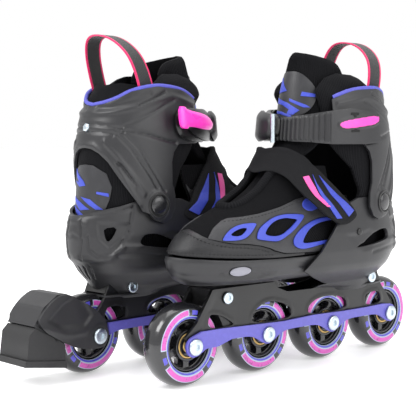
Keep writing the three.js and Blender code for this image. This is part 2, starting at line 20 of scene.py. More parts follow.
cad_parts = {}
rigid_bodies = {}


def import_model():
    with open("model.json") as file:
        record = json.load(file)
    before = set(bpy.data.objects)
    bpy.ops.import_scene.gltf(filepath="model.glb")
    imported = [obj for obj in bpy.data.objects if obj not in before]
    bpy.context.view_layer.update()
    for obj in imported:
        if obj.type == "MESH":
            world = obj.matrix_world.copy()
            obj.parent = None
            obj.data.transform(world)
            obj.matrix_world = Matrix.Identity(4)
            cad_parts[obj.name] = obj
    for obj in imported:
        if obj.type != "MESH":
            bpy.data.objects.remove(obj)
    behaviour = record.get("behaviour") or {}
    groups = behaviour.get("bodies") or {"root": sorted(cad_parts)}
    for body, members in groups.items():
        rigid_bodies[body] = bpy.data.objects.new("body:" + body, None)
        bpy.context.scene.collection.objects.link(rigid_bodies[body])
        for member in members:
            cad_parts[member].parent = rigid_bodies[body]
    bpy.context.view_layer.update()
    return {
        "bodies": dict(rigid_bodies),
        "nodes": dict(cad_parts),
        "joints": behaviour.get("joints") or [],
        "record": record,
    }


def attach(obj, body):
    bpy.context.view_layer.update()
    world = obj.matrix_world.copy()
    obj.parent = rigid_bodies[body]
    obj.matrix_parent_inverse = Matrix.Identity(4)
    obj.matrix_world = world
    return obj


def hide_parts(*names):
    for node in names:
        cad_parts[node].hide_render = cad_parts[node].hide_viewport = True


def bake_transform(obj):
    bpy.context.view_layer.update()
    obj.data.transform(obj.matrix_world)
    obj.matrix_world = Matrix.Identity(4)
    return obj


LOG = logging.getLogger("skates")
MM = 0.001
SQUARE = 2.0  # power of the boot's flat ovals: 2 gives ellipses, and more gives squarer ones
DECK = 82.0  # height of the frame's flat top, that the boot's heights are counted from


class Side(Enum):
    """Which foot a skate is for; its value is the sign of Y on the outside of the foot."""

    RIGHT = -1
    LEFT = 1


# ---------------------------------------------------------------- shader maths
class Val:
    """A number in a shader: a socket whose Python operators add Math nodes."""

    def __init__(self, graph: "Graph", socket: Any) -> None:
        """Wraps socket, which belongs to graph."""
        self.graph, self.socket = graph, socket

    def math(self, operation: str, *others: Any) -> "Val":
        """Returns the Math node of that operation on this value and the others."""
        node = self.graph.node("ShaderNodeMath", {"operation": operation},
                               {i: v for i, v in enumerate((self, *others))})
        return Val(self.graph, node.outputs[0])

    def flip(self, operation: str, other: float) -> "Val":
        """Returns operation with other first and this value second."""
        node = self.graph.node("ShaderNodeMath", {"operation": operation}, {0: other, 1: self})
        return Val(self.graph, node.outputs[0])

    def __add__(self, other: Any) -> "Val":
        """This plus other."""
        return self.math("ADD", other)

    def __sub__(self, other: Any) -> "Val":
        """This minus other."""
        return self.math("SUBTRACT", other)

    def __mul__(self, other: Any) -> "Val":
        """This times other."""
        return self.math("MULTIPLY", other)

    def __truediv__(self, other: Any) -> "Val":
        """This over other."""
        return self.math("DIVIDE", other)

    def __rsub__(self, other: float) -> "Val":
        """Other minus this."""
        return self.flip("SUBTRACT", other)

    def __gt__(self, other: Any) -> "Val":
        """1 where this is greater, else 0."""
        return self.math("GREATER_THAN", other)

    def __lt__(self, other: Any) -> "Val":
        """1 where this is less, else 0."""
        return self.math("LESS_THAN", other)

    __radd__ = __add__
    __rmul__ = __mul__

    def wave(self) -> "Val":
        """Returns the sine of this value."""
        return self.math("SINE")

    def within(self, low: float, high: float) -> "Val":
        """Returns 1 between low and high, else 0."""
        return (self > low) * (self < high)

    def fit(self, low: float, high: float, to_low: float, to_high: float) -> "Val":
        """Returns this value mapped from one range to another, clamped."""
        node = self.graph.node("ShaderNodeMapRange", {"clamp": True},
                               {0: self, 1: low, 2: high, 3: to_low, 4: to_high})
        return Val(self.graph, node.outputs[0])


class Graph:
    """One material's node tree, around a Principled shader."""

    def __init__(self, name: str, colour: Sequence[float], roughness: float,
                 constants: Optional[dict[str, Any]] = None) -> None:
        """Starts a material with a constant colour and roughness.

        Args:
            name: The material's name.
            colour: Linear red, green and blue.
            roughness: The shader's roughness.
            constants: Other Principled sockets and their constant values.
        """
        self.material = bpy.data.materials.new(name)
        self.material.use_nodes = True
        self.tree = self.material.node_tree
        self.shader = self.tree.nodes["Principled BSDF"]
        self.shader.inputs["Base Color"].default_value = (*colour, 1.0)
        self.shader.inputs["Roughness"].default_value = roughness
        for socket, value in (constants or {}).items():
            self.shader.inputs[socket].default_value = value
        self.material.diffuse_color = (*colour, 1.0)
        self._coords: Any = None

    def node(self, kind: str, settings: dict[str, Any], links: dict[Any, Any]) -> Any:
        """Returns a new node with its settings made first and its sockets then filled or linked."""
        node = self.tree.nodes.new(kind)
        for key, value in settings.items():
            setattr(node, key, value)
        for key, value in links.items():
            if isinstance(value, Val):
                value = value.socket
            if isinstance(value, bpy.types.NodeSocket):
                self.tree.links.new(value, node.inputs[key])
            else:
                node.inputs[key].default_value = value
        return node

    @property
    def coords(self) -> Any:
        """The Texture Coordinate node."""
        if self._coords is None:
            self._coords = self.node("ShaderNodeTexCoord", {}, {})
        return self._coords

    def noise(self, scale: float, detail: float = 2.0) -> Val:
        """Returns a noise from 0 to 1; scale is in waves per metre."""
        node = self.node("ShaderNodeTexNoise", {},
                         {"Vector": self.coords.outputs["Object"], "Scale": scale,
                          "Detail": detail})
        return Val(self, node.outputs["Fac"])

    def uv(self) -> tuple[Val, Val]:
        """Returns the piece's own U and V."""
        node = self.node("ShaderNodeSeparateXYZ", {}, {0: self.coords.outputs["UV"]})
        return Val(self, node.outputs[0]), Val(self, node.outputs[1])

    def mix(self, share: Val, first: Any, second: Any) -> Any:
        """Returns a colour socket: first where share is 0, second where it is 1."""
        def solid(value: Any) -> Any:
            """Gives a plain colour its alpha."""
            return (*value, 1.0) if isinstance(value, tuple) else value
        node = self.node("ShaderNodeMix", {"data_type": "RGBA"},
                         {0: share, 6: solid(first), 7: solid(second)})
        return node.outputs[2]

    def feed(self, socket: str, value: Any) -> None:
        """Links a value or colour socket to one of the shader's sockets."""
        source = value.socket if isinstance(value, Val) else value
        self.tree.links.new(source, self.shader.inputs[socket])

    def bump(self, height: Val, distance: float, strength: float = 1.0) -> None:
        """Feeds the shader's normal from a height; distance is in metres."""
        node = self.node("ShaderNodeBump", {},
                         {"Height": height, "Distance": distance, "Strength": strength})
        self.tree.links.new(node.outputs[0], self.shader.inputs["Normal"])


# ---------------------------------------------------------------- finishes
@dataclass(frozen=True)
class Moulded:
    """Moulded plastic or paint: a fine pebble grain, and gloss that varies a little."""

    name: str
    colour: tuple[float, float, float]
    roughness: float = 0.42
    grain: float = 1500.0
    depth: float = 0.00006
    coat: float = 0.0

    def make(self) -> bpy.types.Material:
        """Returns the material."""
        graph = Graph(self.name, self.colour, self.roughness,
                      {"Coat Weight": self.coat, "Coat Roughness": 0.15})
        cloud = graph.noise(35.0, 3.0)
        scuff = graph.noise(260.0, 4.0)
        graph.feed("Roughness", cloud.fit(0.3, 0.7, self.roughness - 0.05, self.roughness + 0.06)
                   + scuff.fit(0.62, 0.8, 0.0, 0.08))
        pale = tuple(min(1.0, c * 1.35 + 0.002) for c in self.colour)
        graph.feed("Base Color", graph.mix(scuff.fit(0.5, 0.85, 0.0, 0.6), self.colour, pale))
        graph.bump(graph.noise(self.grain, 2.0), self.depth)
        return graph.material


@dataclass(frozen=True)
class Knit:
    """Padded knit mesh: rows of small open cells that follow the piece's own UV, in metres, with
    painted shade darkening the cells' low parts.
    """

    name: str
    colour: tuple[float, float, float]
    cell: float = 0.0016
    depth: float = 0.0005
    ribs: float = 0.0

    def make(self) -> bpy.types.Material:
        """Returns the material."""
        graph = Graph(self.name, self.colour, 0.92, {"Specular IOR Level": 0.1})
        u, v = graph.uv()
        turn = 2 * math.pi / self.cell
        cells = ((u * turn).wave() * (v * (turn * 0.6)).wave())
        height = cells.fit(-0.8, 0.8, 0.0, 1.0)
        if self.ribs:
            height = height * 0.45 + (u * (2 * math.pi / self.ribs)).wave().fit(-1.0, 1.0, 0.0, 1.0)
        # painted shade: the colour darkens towards the low parts of the cells, and a noise adds random
        # tone
        hollow_shade = tuple(c * 0.35 for c in self.colour)
        shade_and_tone = height * 0.8 + graph.noise(120.0, 3.0) * 0.3
        graph.feed("Base Color", graph.mix(shade_and_tone, hollow_shade, self.colour))
        graph.feed("Roughness", height.fit(0.0, 1.0, 1.0, 0.82))
        graph.bump(height, self.depth)
        return graph.material


@dataclass(frozen=True)
class Leather:
    """Smooth coated fabric: a leather grain of small soft cells, and creases."""

    name: str
    colour: tuple[float, float, float]
    roughness: float = 0.5
    cell: float = 900.0
    depth: float = 0.00022

    def make(self) -> bpy.types.Material:
        """Returns the material."""
        graph = Graph(self.name, self.colour, self.roughness, {"Specular IOR Level": 0.4})
        cells = graph.node("ShaderNodeTexVoronoi", {"feature": "DISTANCE_TO_EDGE"},
                           {"Vector": graph.coords.outputs["Object"], "Scale": self.cell})
        grain = Val(graph, cells.outputs["Distance"]).fit(0.0, 0.25, 0.0, 1.0)
        crease = graph.noise(90.0, 5.0)
        graph.bump(grain * 0.5 + crease * 0.8, self.depth)
        graph.feed("Roughness", crease.fit(0.3, 0.7, self.roughness - 0.08, self.roughness + 0.1))
        pale = tuple(min(1.0, c * 1.3 + 0.003) for c in self.colour)
        graph.feed("Base Color", graph.mix(crease.fit(0.45, 0.75, 0.0, 1.0), self.colour, pale))
        return graph.material


@dataclass(frozen=True)
class Webbing:
    """Woven tape: a twill weave along the tape, and bright stripes at its two edges, with painted
    shade in the weave's low parts.
    """

    name: str
    colour: tuple[float, float, float]
    edge: tuple[float, float, float]
    half: float = 0.009
    border: float = 0.0022

    def make(self) -> bpy.types.Material:
        """Returns the material; U runs along the tape and V across it, both in metres."""
        graph = Graph(self.name, self.colour, 0.85, {"Sheen Weight": 0.2})
        u, v = graph.uv()
        weave = (u * 4200.0 + v * 2600.0).wave() * (v * 5200.0).wave()
        height = weave.fit(-1.0, 1.0, 0.0, 1.0)
        edge = v.math("ABSOLUTE") > (self.half - self.border)
        # painted shade: the tape and its edge stripes darken in the low parts of the weave
        hollow_shade = tuple(c * 0.5 for c in self.colour)
        edge_shade = tuple(c * 0.6 for c in self.edge)
        body = graph.mix(height, hollow_shade, self.colour)
        rim = graph.mix(height, edge_shade, self.edge)
        graph.feed("Base Color", graph.mix(edge, body, rim))
        graph.feed("Roughness", height.fit(0.0, 1.0, 0.95, 0.75))
        graph.bump(height, 0.00025)
        return graph.material


@dataclass(frozen=True)
class Zinc:
    """Zinc-plated steel with fine turning marks and a cool sheen."""

    name: str = "zinc"
    colour: tuple[float, float, float] = (0.62, 0.70, 0.76)
    roughness: float = 0.28

    def make(self) -> bpy.types.Material:
        """Returns the material."""
        graph = Graph(self.name, self.colour, self.roughness, {"Metallic": 1.0})
        marks = graph.noise(2600.0, 4.0)
        graph.feed("Roughness", marks.fit(0.3, 0.7, self.roughness - 0.08, self.roughness + 0.14))
        warm = tuple(c * 0.8 for c in self.colour)
        graph.feed("Base Color", graph.mix(graph.noise(300.0), warm, self.colour))
        graph.bump(marks, 0.00003)
        return graph.material


@dataclass(frozen=True)
class TyrePrint:
    """Glossy cast tyre with a printed band: broken outer arcs, and an inner ring with pale lines."""

    name: str = "tyre"
    black: tuple[float, float, float] = (0.009, 0.009, 0.011)
    outer: tuple[float, float, float] = (0.56, 0.07, 0.40)
    inner: tuple[float, float, float] = (0.07, 0.06, 0.50)
    line: tuple[float, float, float] = (0.46, 0.54, 0.70)

    def make(self) -> bpy.types.Material:
        """Returns the material; U and V are metres from the wheel's centre."""
        graph = Graph(self.name, self.black, 0.2, {"Coat Weight": 0.6, "Coat Roughness": 0.08})
        u, v = graph.uv()
        radius = (u * u + v * v).math("SQRT") * 1000.0
        angle = v.math("ARCTAN2", u) * (1 / (2 * math.pi))

        def dashes(count: int, share: float, shift: float = 0.0) -> Val:
            """Returns 1 on count dashes round the wheel, each a share of its step."""
            step = (angle * float(count) + (shift + 50.0)).math("FRACT")
            return step < share

        outer = radius.within(26.3, 30.6) * dashes(3, 0.72)
        rim = radius.within(25.7, 31.2) * dashes(3, 0.75, 0.015) - outer
        short = radius.within(26.6, 30.4) * dashes(3, 0.1, 0.21)
        inner = radius.within(23.4, 25.0)
        rings = radius.within(22.7, 25.7) - inner
        worn = graph.noise(420.0, 3.0).fit(0.3, 0.45, 0.5, 1.0)
        colour = graph.mix(outer * worn, self.black, self.outer)
        colour = graph.mix(rim.fit(0.0, 1.0, 0.0, 0.8), colour, self.line)
        colour = graph.mix((inner + short) * worn, colour, self.inner)
        colour = graph.mix(rings * 0.75, colour, self.line)
        graph.feed("Base Color", colour)
        print_mask = (outer + inner + rings + rim + short).math("MINIMUM", 1.0)
        graph.feed("Roughness", print_mask.fit(0.0, 1.0, 0.18, 0.34)
                   + graph.noise(90.0).fit(0.3, 0.7, 0.0, 0.07))
        graph.bump(graph.noise(700.0, 3.0), 0.00004)
        return graph.material


@dataclass(frozen=True)
class Finishes:
    """Every finish on the skates, made once."""

    shell: Any = Moulded("shell_black", (0.0145, 0.0145, 0.0165), 0.42)
    frame: Any = Moulded("frame_black", (0.0055, 0.0055, 0.006), 0.33, 900.0, 0.00004)
    rail: Any = Moulded("rail_purple", (0.098, 0.088, 0.42), 0.36, 1200.0, 0.00003, 0.15)
    lever: Any = Moulded("lever_pink", (0.86, 0.045, 0.47), 0.28, 700.0, 0.00002, 0.3)
    inlay: Any = Moulded("inlay_pink", (0.78, 0.06, 0.42), 0.32, 700.0, 0.00002)
    button: Any = Moulded("button_grey", (0.24, 0.24, 0.28), 0.3, 600.0, 0.00002)
    hub: Any = Moulded("hub_black", (0.012, 0.012, 0.014), 0.22, 500.0, 0.00002, 0.3)
    rubber: Any = Moulded("brake_rubber", (0.011, 0.011, 0.012), 0.55, 2200.0, 0.0001)
    # near-black painted shade, that stands for the dark inside holes
    hole: Any = Moulded("deep_black", (0.003, 0.003, 0.003), 0.8)
    synthetic: Any = Leather("overlay_charcoal", (0.026, 0.026, 0.029), 0.46)
    toe_skin: Any = Leather("toe_leather", (0.009, 0.009, 0.0105), 0.42, 700.0, 0.00015)
    strap: Any = Knit("strap_nylon", (0.02, 0.02, 0.022), 0.0011, 0.00022)
    mesh: Any = Knit("window_mesh", (0.008, 0.008, 0.0095), 0.0017, 0.0004)
    collar: Any = Knit("collar_knit", (0.0085, 0.0085, 0.01), 0.0012, 0.0003, 0.0022)
    patch: Any = Leather("patch_charcoal", (0.022, 0.022, 0.025), 0.4, 1100.0, 0.00008)
    blue: Any = Moulded("trim_blue", (0.036, 0.058, 0.42), 0.5, 1500.0, 0.00008)
    stripe_pink: Any = Moulded("stripe_pink", (0.78, 0.09, 0.36), 0.5, 1500.0, 0.00008)
    thread: Any = Moulded("thread_black", (0.006, 0.006, 0.007), 0.7, 3000.0, 0.0001)
    piping: Any = Moulded("piping_blue", (0.072, 0.075, 0.42), 0.6, 3000.0, 0.0001)
    loop: Any = Webbing("loop_webbing", (0.012, 0.012, 0.013), (0.82, 0.012, 0.14))
    zinc: Any = Zinc()
    brass: Any = Zinc("bearing_brass", (0.62, 0.42, 0.16), 0.3)
    tyre: Any = TyrePrint()


class Paint:
    """Hands out each finish's material, made at its first use."""

    def __init__(self) -> None:
        """Starts with no material made."""
        self.finishes, self.made = Finishes(), {}

    def __call__(self, name: str) -> bpy.types.Material:
        """Returns the material of the finish of that name."""
        if name not in self.made:
            self.made[name] = getattr(self.finishes, name).make()
        return self.made[name]


# ---------------------------------------------------------------- forms and panels
Points = Sequence[Sequence[float]]


class Form:
    """A boot skin: flat ovals stacked up a height, in a skate's own frame.

    The flat pattern of a skin has U round it and V up it. U is an angle times a scale, and it is 0
    at the middle of the side opposite to where the pattern is parted.
    """

    def __init__(self, rows: Points, opens: str, scale: float = 80.0, blur: int = 9) -> None:
        """Builds the skin from its stations.

        Args:
            rows: (z, back, mid, front, half width) of each oval, from the bottom up.
            opens: "front" or "back", the side where a flat pattern of the skin is parted.
            scale: Millimetres of the flat pattern per radian round the oval.
            blur: How many of the 200 heights each station is smoothed over.
        """
        table = np.array(rows, float)
        self.z = np.linspace(table[0, 0], table[-1, 0], 200)
        kernel = np.hanning(blur + 2)[1:-1]
        kernel /= kernel.sum()
        self.columns = []
        for column in table[:, 1:].T:
            line = np.interp(self.z, table[:, 0], column)
            padded = np.pad(line, blur // 2, mode="reflect", reflect_type="odd")
            self.columns.append(np.convolve(padded, kernel, mode="valid"))
        self.ahead = 1.0 if opens == "back" else -1.0
        self.scale = scale

    def row(self, z: Any) -> list[np.ndarray]:
        """Returns back, mid, front and half width at each height."""
        return [np.interp(z, self.z, column) for column in self.columns]

    def point(self, u: Any, z: Any, grow: Any = 0.0) -> np.ndarray:
        """Returns the places of pattern points (u, z), moved out by grow."""
        back, mid, front, half = self.row(z)
        angle = np.asarray(u) / self.scale
        cosine, sine = np.cos(angle) * self.ahead, np.sin(angle)
        size = (np.abs(cosine) ** SQUARE + np.abs(sine) ** SQUARE) ** (-1 / SQUARE)
        reach = np.where(cosine > 0, front - mid, mid - back) + grow
        x = mid + cosine * size * reach
        y = sine * size * (half + grow)
        return np.stack([x, y, np.asarray(z) + 0 * x], -1)

    def at(self, points: Points, side: float) -> np.ndarray:
        """Returns pattern points for [x, z] points of the side view, on the side of that sign."""
        x, z = np.array(points, float).T
        back, mid, front, _ = self.row(z)
        share = np.clip((x - mid) / np.where(x > mid, front - mid, mid - back), -1, 1)
        aside = (1 - np.abs(share) ** SQUARE) ** (1 / SQUARE)
        return np.stack([np.arctan2(aside * side, share * self.ahead) * self.scale, z], -1)

    def both(self, points: Points) -> np.ndarray:
        """Returns a closed pattern outline that mirrors [x, z] points to both sides."""
        return np.concatenate([self.at(points, 1.0), self.at(points, -1.0)[::-1]])

    def out(self, pattern: np.ndarray, grow: float = 0.0) -> tuple[np.ndarray, np.ndarray]:
        """Returns the places and the outward directions of pattern points."""
        step = 0.5
        u, z = pattern[:, 0], pattern[:, 1]
        place = self.point(u, z, grow)
        along = self.point(u + step, z, grow) - self.point(u - step, z, grow)
        up = self.point(u, z + step, grow) - self.point(u, z - step, grow)
        normal = np.cross(along, up) * self.ahead
        return place, normal / np.linalg.norm(normal, axis=1)[:, None]


class Plane:
    """An upright flat face at y, whose pattern is the side view; grow moves it outwards."""

    def __init__(self, y: float) -> None:
        """Sets the face's place; its outward side is the sign of y."""
        self.y = y

    def point(self, u: np.ndarray, z: np.ndarray, grow: Any = 0.0) -> np.ndarray:
        """Returns the places of pattern points (u, z)."""
        y = self.y + math.copysign(1, self.y) * (grow + 0 * np.asarray(u))
        return np.stack([np.asarray(u), y, np.asarray(z)], -1)

    def out(self, pattern: np.ndarray, grow: float = 0.0) -> tuple[np.ndarray, np.ndarray]:
        """Returns the places and the outward directions of pattern points."""
        place = self.point(pattern[:, 0], pattern[:, 1], grow)
        return place, np.tile((0.0, math.copysign(1, self.y), 0.0), (len(place), 1))


def inside(points: np.ndarray, outline: np.ndarray) -> np.ndarray:
    """Returns which points lie inside a closed outline."""
    x, y = points[:, 0], points[:, 1]
    result = np.zeros(len(points), bool)
    for (x0, y0), (x1, y1) in zip(outline, np.roll(outline, -1, 0)):
        if y0 == y1:
            continue
        crosses = ((y0 > y) != (y1 > y)) & (x < (x1 - x0) * (y - y0) / (y1 - y0) + x0)
        result ^= crosses
    return result


def rounded(points: Points, times: int = 3, closed: bool = True) -> np.ndarray:
    """Returns the points with their corners cut round; a doubled point stays sharp."""
    line = np.array(points, float)
    for _ in range(times):
        after = np.roll(line, -1, 0) if closed else line[1:]
        before = line if closed else line[:-1]
        pairs = np.stack([before * 0.75 + after * 0.25, before * 0.25 + after * 0.75], 1)
        cut = pairs.reshape(-1, line.shape[1])
        line = cut if closed else np.concatenate([line[:1], cut, line[-1:]])
    keep = np.linalg.norm(line - np.roll(line, 1, 0), axis=1) > 1e-3
    return line[keep]


def paced(line: np.ndarray, step: float, closed: bool = True) -> np.ndarray:
    """Returns the line with points added so that none are further apart than step."""
    ends = np.roll(line, -1, 0) if closed else line[1:]
    starts = line if closed else line[:-1]
    result = []
    for start, end in zip(starts, ends):
        count = max(1, int(math.ceil(np.linalg.norm(end - start) / step)))
        result += [start + (end - start) * i / count for i in range(count)]
    if not closed:
        result.append(line[-1])
    return np.array(result)


def distance(points: np.ndarray, line: Points, closed: bool = False) -> np.ndarray:
    """Returns each point's distance to a line of points."""
    path = np.array(line, float)
    if closed:
        path = np.concatenate([path, path[:1]])
    best = np.full(len(points), 1e9)
    for start, end in zip(path[:-1], path[1:]):
        along = end - start
        share = np.clip((points - start) @ along / max(along @ along, 1e-9), 0, 1)
        near = start + share[:, None] * along
        best = np.minimum(best, np.linalg.norm(points - near, axis=1))
    return best


def link(name: str, vertices: np.ndarray, faces: Iterable[Sequence[int]],
         uvs: Optional[np.ndarray] = None) -> bpy.types.Object:
    """Returns a new smooth object of that mesh, with per-vertex UVs where given."""
    mesh = bpy.data.meshes.new(name)
    mesh.from_pydata([tuple(v) for v in vertices], [], [tuple(int(i) for i in f) for f in faces])
    mesh.update()
    if uvs is not None:
        layer = mesh.uv_layers.new(name="UVMap")
        index = np.zeros(len(mesh.loops), np.int32)
        mesh.loops.foreach_get("vertex_index", index)
        layer.data.foreach_set("uv", np.asarray(uvs, np.float32)[index].ravel())
    obj = bpy.data.objects.new(name, mesh)
    bpy.context.scene.collection.objects.link(obj)
    return obj


def alone(obj: bpy.types.Object) -> None:
    """Makes obj the one selected and active object."""
    bpy.ops.object.select_all(action="DESELECT")
    obj.select_set(True)
    bpy.context.view_layer.objects.active = obj


def modify(obj: bpy.types.Object, kind: str, **settings: Any) -> None:
    """Adds a modifier to obj and applies it."""
    alone(obj)
    modifier = obj.modifiers.new(kind.lower(), kind)
    for key, value in settings.items():
        setattr(modifier, key, value)
    bpy.ops.object.modifier_apply(modifier=modifier.name)


def smooth(obj: bpy.types.Object, degrees: float = 40.0) -> None:
    """Shades obj smooth but for edges sharper than that."""
    alone(obj)
    bpy.ops.object.shade_smooth_by_angle(angle=math.radians(degrees))


def panel(name: str, form: Any, outline: np.ndarray, holes: Sequence[np.ndarray] = (),
          step: float = 2.4, thickness: float = 3.0, grow: float = 0.0,
          relief: Optional[Callable[[np.ndarray, np.ndarray], np.ndarray]] = None,
          bevel: float = 0.5) -> bpy.types.Object:
    """Cuts a plate from a form's flat pattern and wraps it on the form.

    Args:
        name: The piece's name.
        form: The Form or Plane it lies on.
        outline: The plate's pattern outline.
        holes: Pattern outlines cut out of it.
        step: Spacing of the mesh's points.
        thickness: How thick it is, inwards from its face.
        grow: How far its face stands out from the form.
        relief: Gives how far each point stands out, from its pattern point and its place.
        bevel: Width of the rounding along its rim.
    Returns:
        The piece, in the skate's own frame in millimetres.
    """
    loops = [paced(np.asarray(line, float), step) for line in (outline, *holes)]
    low, high = loops[0].min(0), loops[0].max(0)
    rows = np.arange(low[1], high[1], step * 0.87)
    grid = np.array([(x + (i % 2) * step / 2, y) for i, y in enumerate(rows)
                     for x in np.arange(low[0], high[0], step)])
    keep = inside(grid, loops[0])
    for hole in loops[1:]:
        keep &= ~inside(grid, hole)
    grid = grid[keep]
    rim = np.concatenate(loops)
    if len(grid):
        near = np.full(len(grid), 1e9)
        for chunk in np.array_split(rim, max(1, len(rim) // 64)):
            gap = np.linalg.norm(grid[:, None] - chunk[None], axis=2).min(1)
            near = np.minimum(near, gap)
        grid = grid[near > step * 0.55]
    edges, start = [], 0
    for loop in loops:
        count = len(loop)
        edges += [(start + i, start + (i + 1) % count) for i in range(count)]
        start += count
    flat = np.concatenate([rim, grid]) if len(grid) else rim
    result = delaunay_2d_cdt([Vector(p) for p in flat], edges, [], 0, 1e-5)
    flat = np.array([tuple(v) for v in result[0]])
    faces = np.array([f for f in result[2] if len(f) == 3])
    centres = flat[faces].mean(1)
    keep = inside(centres, loops[0])
    for hole in loops[1:]:
        keep &= ~inside(centres, hole)
    faces = faces[keep]
    used, inverse = np.unique(faces, return_inverse=True)
    flat, faces = flat[used], inverse.reshape(-1, 3)
    base = form.point(flat[:, 0], flat[:, 1], grow)
    lift = relief(flat, base) if relief else 0.0
    front = form.point(flat[:, 0], flat[:, 1], grow + lift)
    back = form.point(flat[:, 0], flat[:, 1], grow - thickness)
    normal = np.cross(front[faces[:, 1]] - front[faces[:, 0]], front[faces[:, 2]] - front[faces[:, 0]])
    if ((front - back)[faces].mean(1) * normal).sum() < 0:
        faces = faces[:, ::-1]
    count = len(flat)
    pairs = np.concatenate([faces[:, [0, 1]], faces[:, [1, 2]], faces[:, [2, 0]]])
    seen = {(a, b) for a, b in pairs.tolist()}
    walls = [(b, a, a + count, b + count) for a, b in seen if (b, a) not in seen]
    every = [*faces.tolist(), *(faces[:, ::-1] + count).tolist(), *walls]
    uvs = np.concatenate([flat, flat]) * MM
    obj = link(name, np.concatenate([front, back]), every, uvs)
    if bevel:
        modify(obj, "BEVEL", width=bevel, segments=2, limit_method="ANGLE",
               angle_limit=math.radians(55), use_clamp_overlap=True)
    smooth(obj)
    return obj


def sweep(name: str, path: np.ndarray, out: np.ndarray, profile: Points) -> bpy.types.Object:
    """Sweeps a closed profile along a path and caps its ends.

    Args:
        name: The piece's name.
        path: The path's points.
        out: The outward direction at each of them.
        profile: (across, out) points of the section, in order round it.
    Returns:
        The piece, with U along the path and V across it.
    """
    path, out = np.asarray(path, float), np.asarray(out, float)
    after = np.concatenate([path[1:], path[-1:] * 2 - path[-2:-1]])
    before = np.concatenate([path[:1] * 2 - path[1:2], path[:-1]])
    tangent = after - before
    tangent /= np.linalg.norm(tangent, axis=1)[:, None]
    across = np.cross(tangent, out)
    across /= np.linalg.norm(across, axis=1)[:, None]
    normal = np.cross(across, tangent)
    section = np.array(profile, float)
    places = (path[:, None] + across[:, None] * section[None, :, :1]
              + normal[:, None] * section[None, :, 1:])
    rings, sides = len(path), len(section)
    faces = []
    for i in range(rings - 1):
        for j in range(sides):
            a, b = i * sides + j, i * sides + (j + 1) % sides
            faces.append((a, b, b + sides, a + sides))
    faces.append(tuple(range(sides))[::-1])
    faces.append(tuple((rings - 1) * sides + j for j in range(sides)))
    length = np.concatenate([[0], np.cumsum(np.linalg.norm(path[1:] - path[:-1], axis=1))])
    uvs = np.stack([np.repeat(length, sides), np.tile(section[:, 0], rings)], -1) * MM
    obj = link(name, places.reshape(-1, 3), faces, uvs)
    alone(obj)
    bpy.ops.object.mode_set(mode="EDIT")
    bpy.ops.mesh.select_all(action="SELECT")
    bpy.ops.mesh.normals_make_consistent(inside=False)
    bpy.ops.object.mode_set(mode="OBJECT")
    smooth(obj)
    return obj


def oval(width: float, height: float, count: int = 10) -> list[tuple[float, float]]:
    """Returns an oval section of that whole width and height."""
    return [(width / 2 * math.cos(2 * math.pi * i / count),
             height / 2 * math.sin(2 * math.pi * i / count)) for i in range(count)]


def piping(name: str, form: Any, pattern: np.ndarray, width: float, height: float,
           grow: float, step: float = 2.5) -> bpy.types.Object:
    """Lays a round-backed cord along a pattern line on a form."""
    line = paced(np.asarray(pattern, float), step, False)
    place, out = form.out(line, grow)
    return sweep(name, place, out, oval(width, height))


def stitches(name: str, form: Any, pattern: np.ndarray, grow: float, pitch: float = 3.6,
             length: float = 2.6, radius: float = 0.45) -> bpy.types.Object:
    """Lays a row of thread stitches along a pattern line on a form."""
    fine = paced(np.asarray(pattern, float), 0.5, False)
    place, out = form.out(fine, grow)
    run = np.concatenate([[0], np.cumsum(np.linalg.norm(place[1:] - place[:-1], axis=1))])
    vertices, faces = [], []
    for centre in np.arange(pitch / 2, run[-1], pitch):
        ends = [np.array([np.interp(centre + d, run, place[:, k]) for k in range(3)])
                for d in (-length / 2, 0.0, length / 2)]
        normal = np.array([np.interp(centre, run, out[:, k]) for k in range(3)])
        along = ends[2] - ends[0]
        across = np.cross(along, normal)
        across *= radius / max(np.linalg.norm(across), 1e-9)
        normal = normal * radius
        start = len(vertices)
        for share in (0.28, 0.72):
            middle = ends[0] + along * share
            vertices += [middle + across, middle + normal, middle - across, middle - normal * 0.5]
        vertices += [ends[0] - normal * 0.4, ends[2] - normal * 0.4]
        for j in range(4):
            k = (j + 1) % 4
            faces += [(start + j, start + k, start + 4 + k, start + 4 + j),
                      (start + 8, start + k, start + j), (start + 9, start + 4 + j, start + 4 + k)]
    obj = link(name, np.array(vertices), faces)
    recalculate(obj)
    smooth(obj, 80)
    return obj


def recalculate(obj: bpy.types.Object) -> None:
    """Turns every face of a closed mesh outwards."""
    alone(obj)
    bpy.ops.object.mode_set(mode="EDIT")
    bpy.ops.mesh.select_all(action="SELECT")
    bpy.ops.mesh.remove_doubles(threshold=1e-4)
    bpy.ops.mesh.normals_make_consistent(inside=False)
    bpy.ops.object.mode_set(mode="OBJECT")


def turned(name: str, profile: Points, centre: Sequence[float], steps: int = 48,
           uv_centre: bool = False) -> bpy.types.Object:
    """Spins a profile about an axle across the skate.

    Args:
        name: The piece's name.
        profile: (radius, y) points; a profile off the axle closes on itself.
        centre: The axle's place: x, y and z.
        steps: Flats round the turn.
        uv_centre: Whether to give it UVs, in metres from the axle in the side view.
    Returns:
        The piece.
    """
    points = [(x, y, 0.0) for x, y in profile]
    edges = [(i, i + 1) for i in range(len(points) - 1)]
    mesh = bpy.data.meshes.new(name)
    mesh.from_pydata(points, edges, [])
    obj = bpy.data.objects.new(name, mesh)
    bpy.context.scene.collection.objects.link(obj)
    alone(obj)
    bpy.ops.object.mode_set(mode="EDIT")
    bpy.ops.mesh.select_all(action="SELECT")
    bpy.ops.mesh.spin(steps=steps, angle=2 * math.pi, center=(0, 0, 0), axis=(0, 1, 0))
    bpy.ops.mesh.select_all(action="SELECT")
    bpy.ops.mesh.remove_doubles(threshold=1e-3)
    bpy.ops.mesh.normals_make_consistent(inside=False)
    bpy.ops.object.mode_set(mode="OBJECT")
    if uv_centre:
        layer = mesh.uv_layers.new(name="UVMap")
        for loop in mesh.loops:
            spot = mesh.vertices[loop.vertex_index].co
            layer.data[loop.index].uv = (spot.x * MM, spot.z * MM)
    obj.data.transform(Matrix.Translation(centre))
    smooth(obj)
    return obj


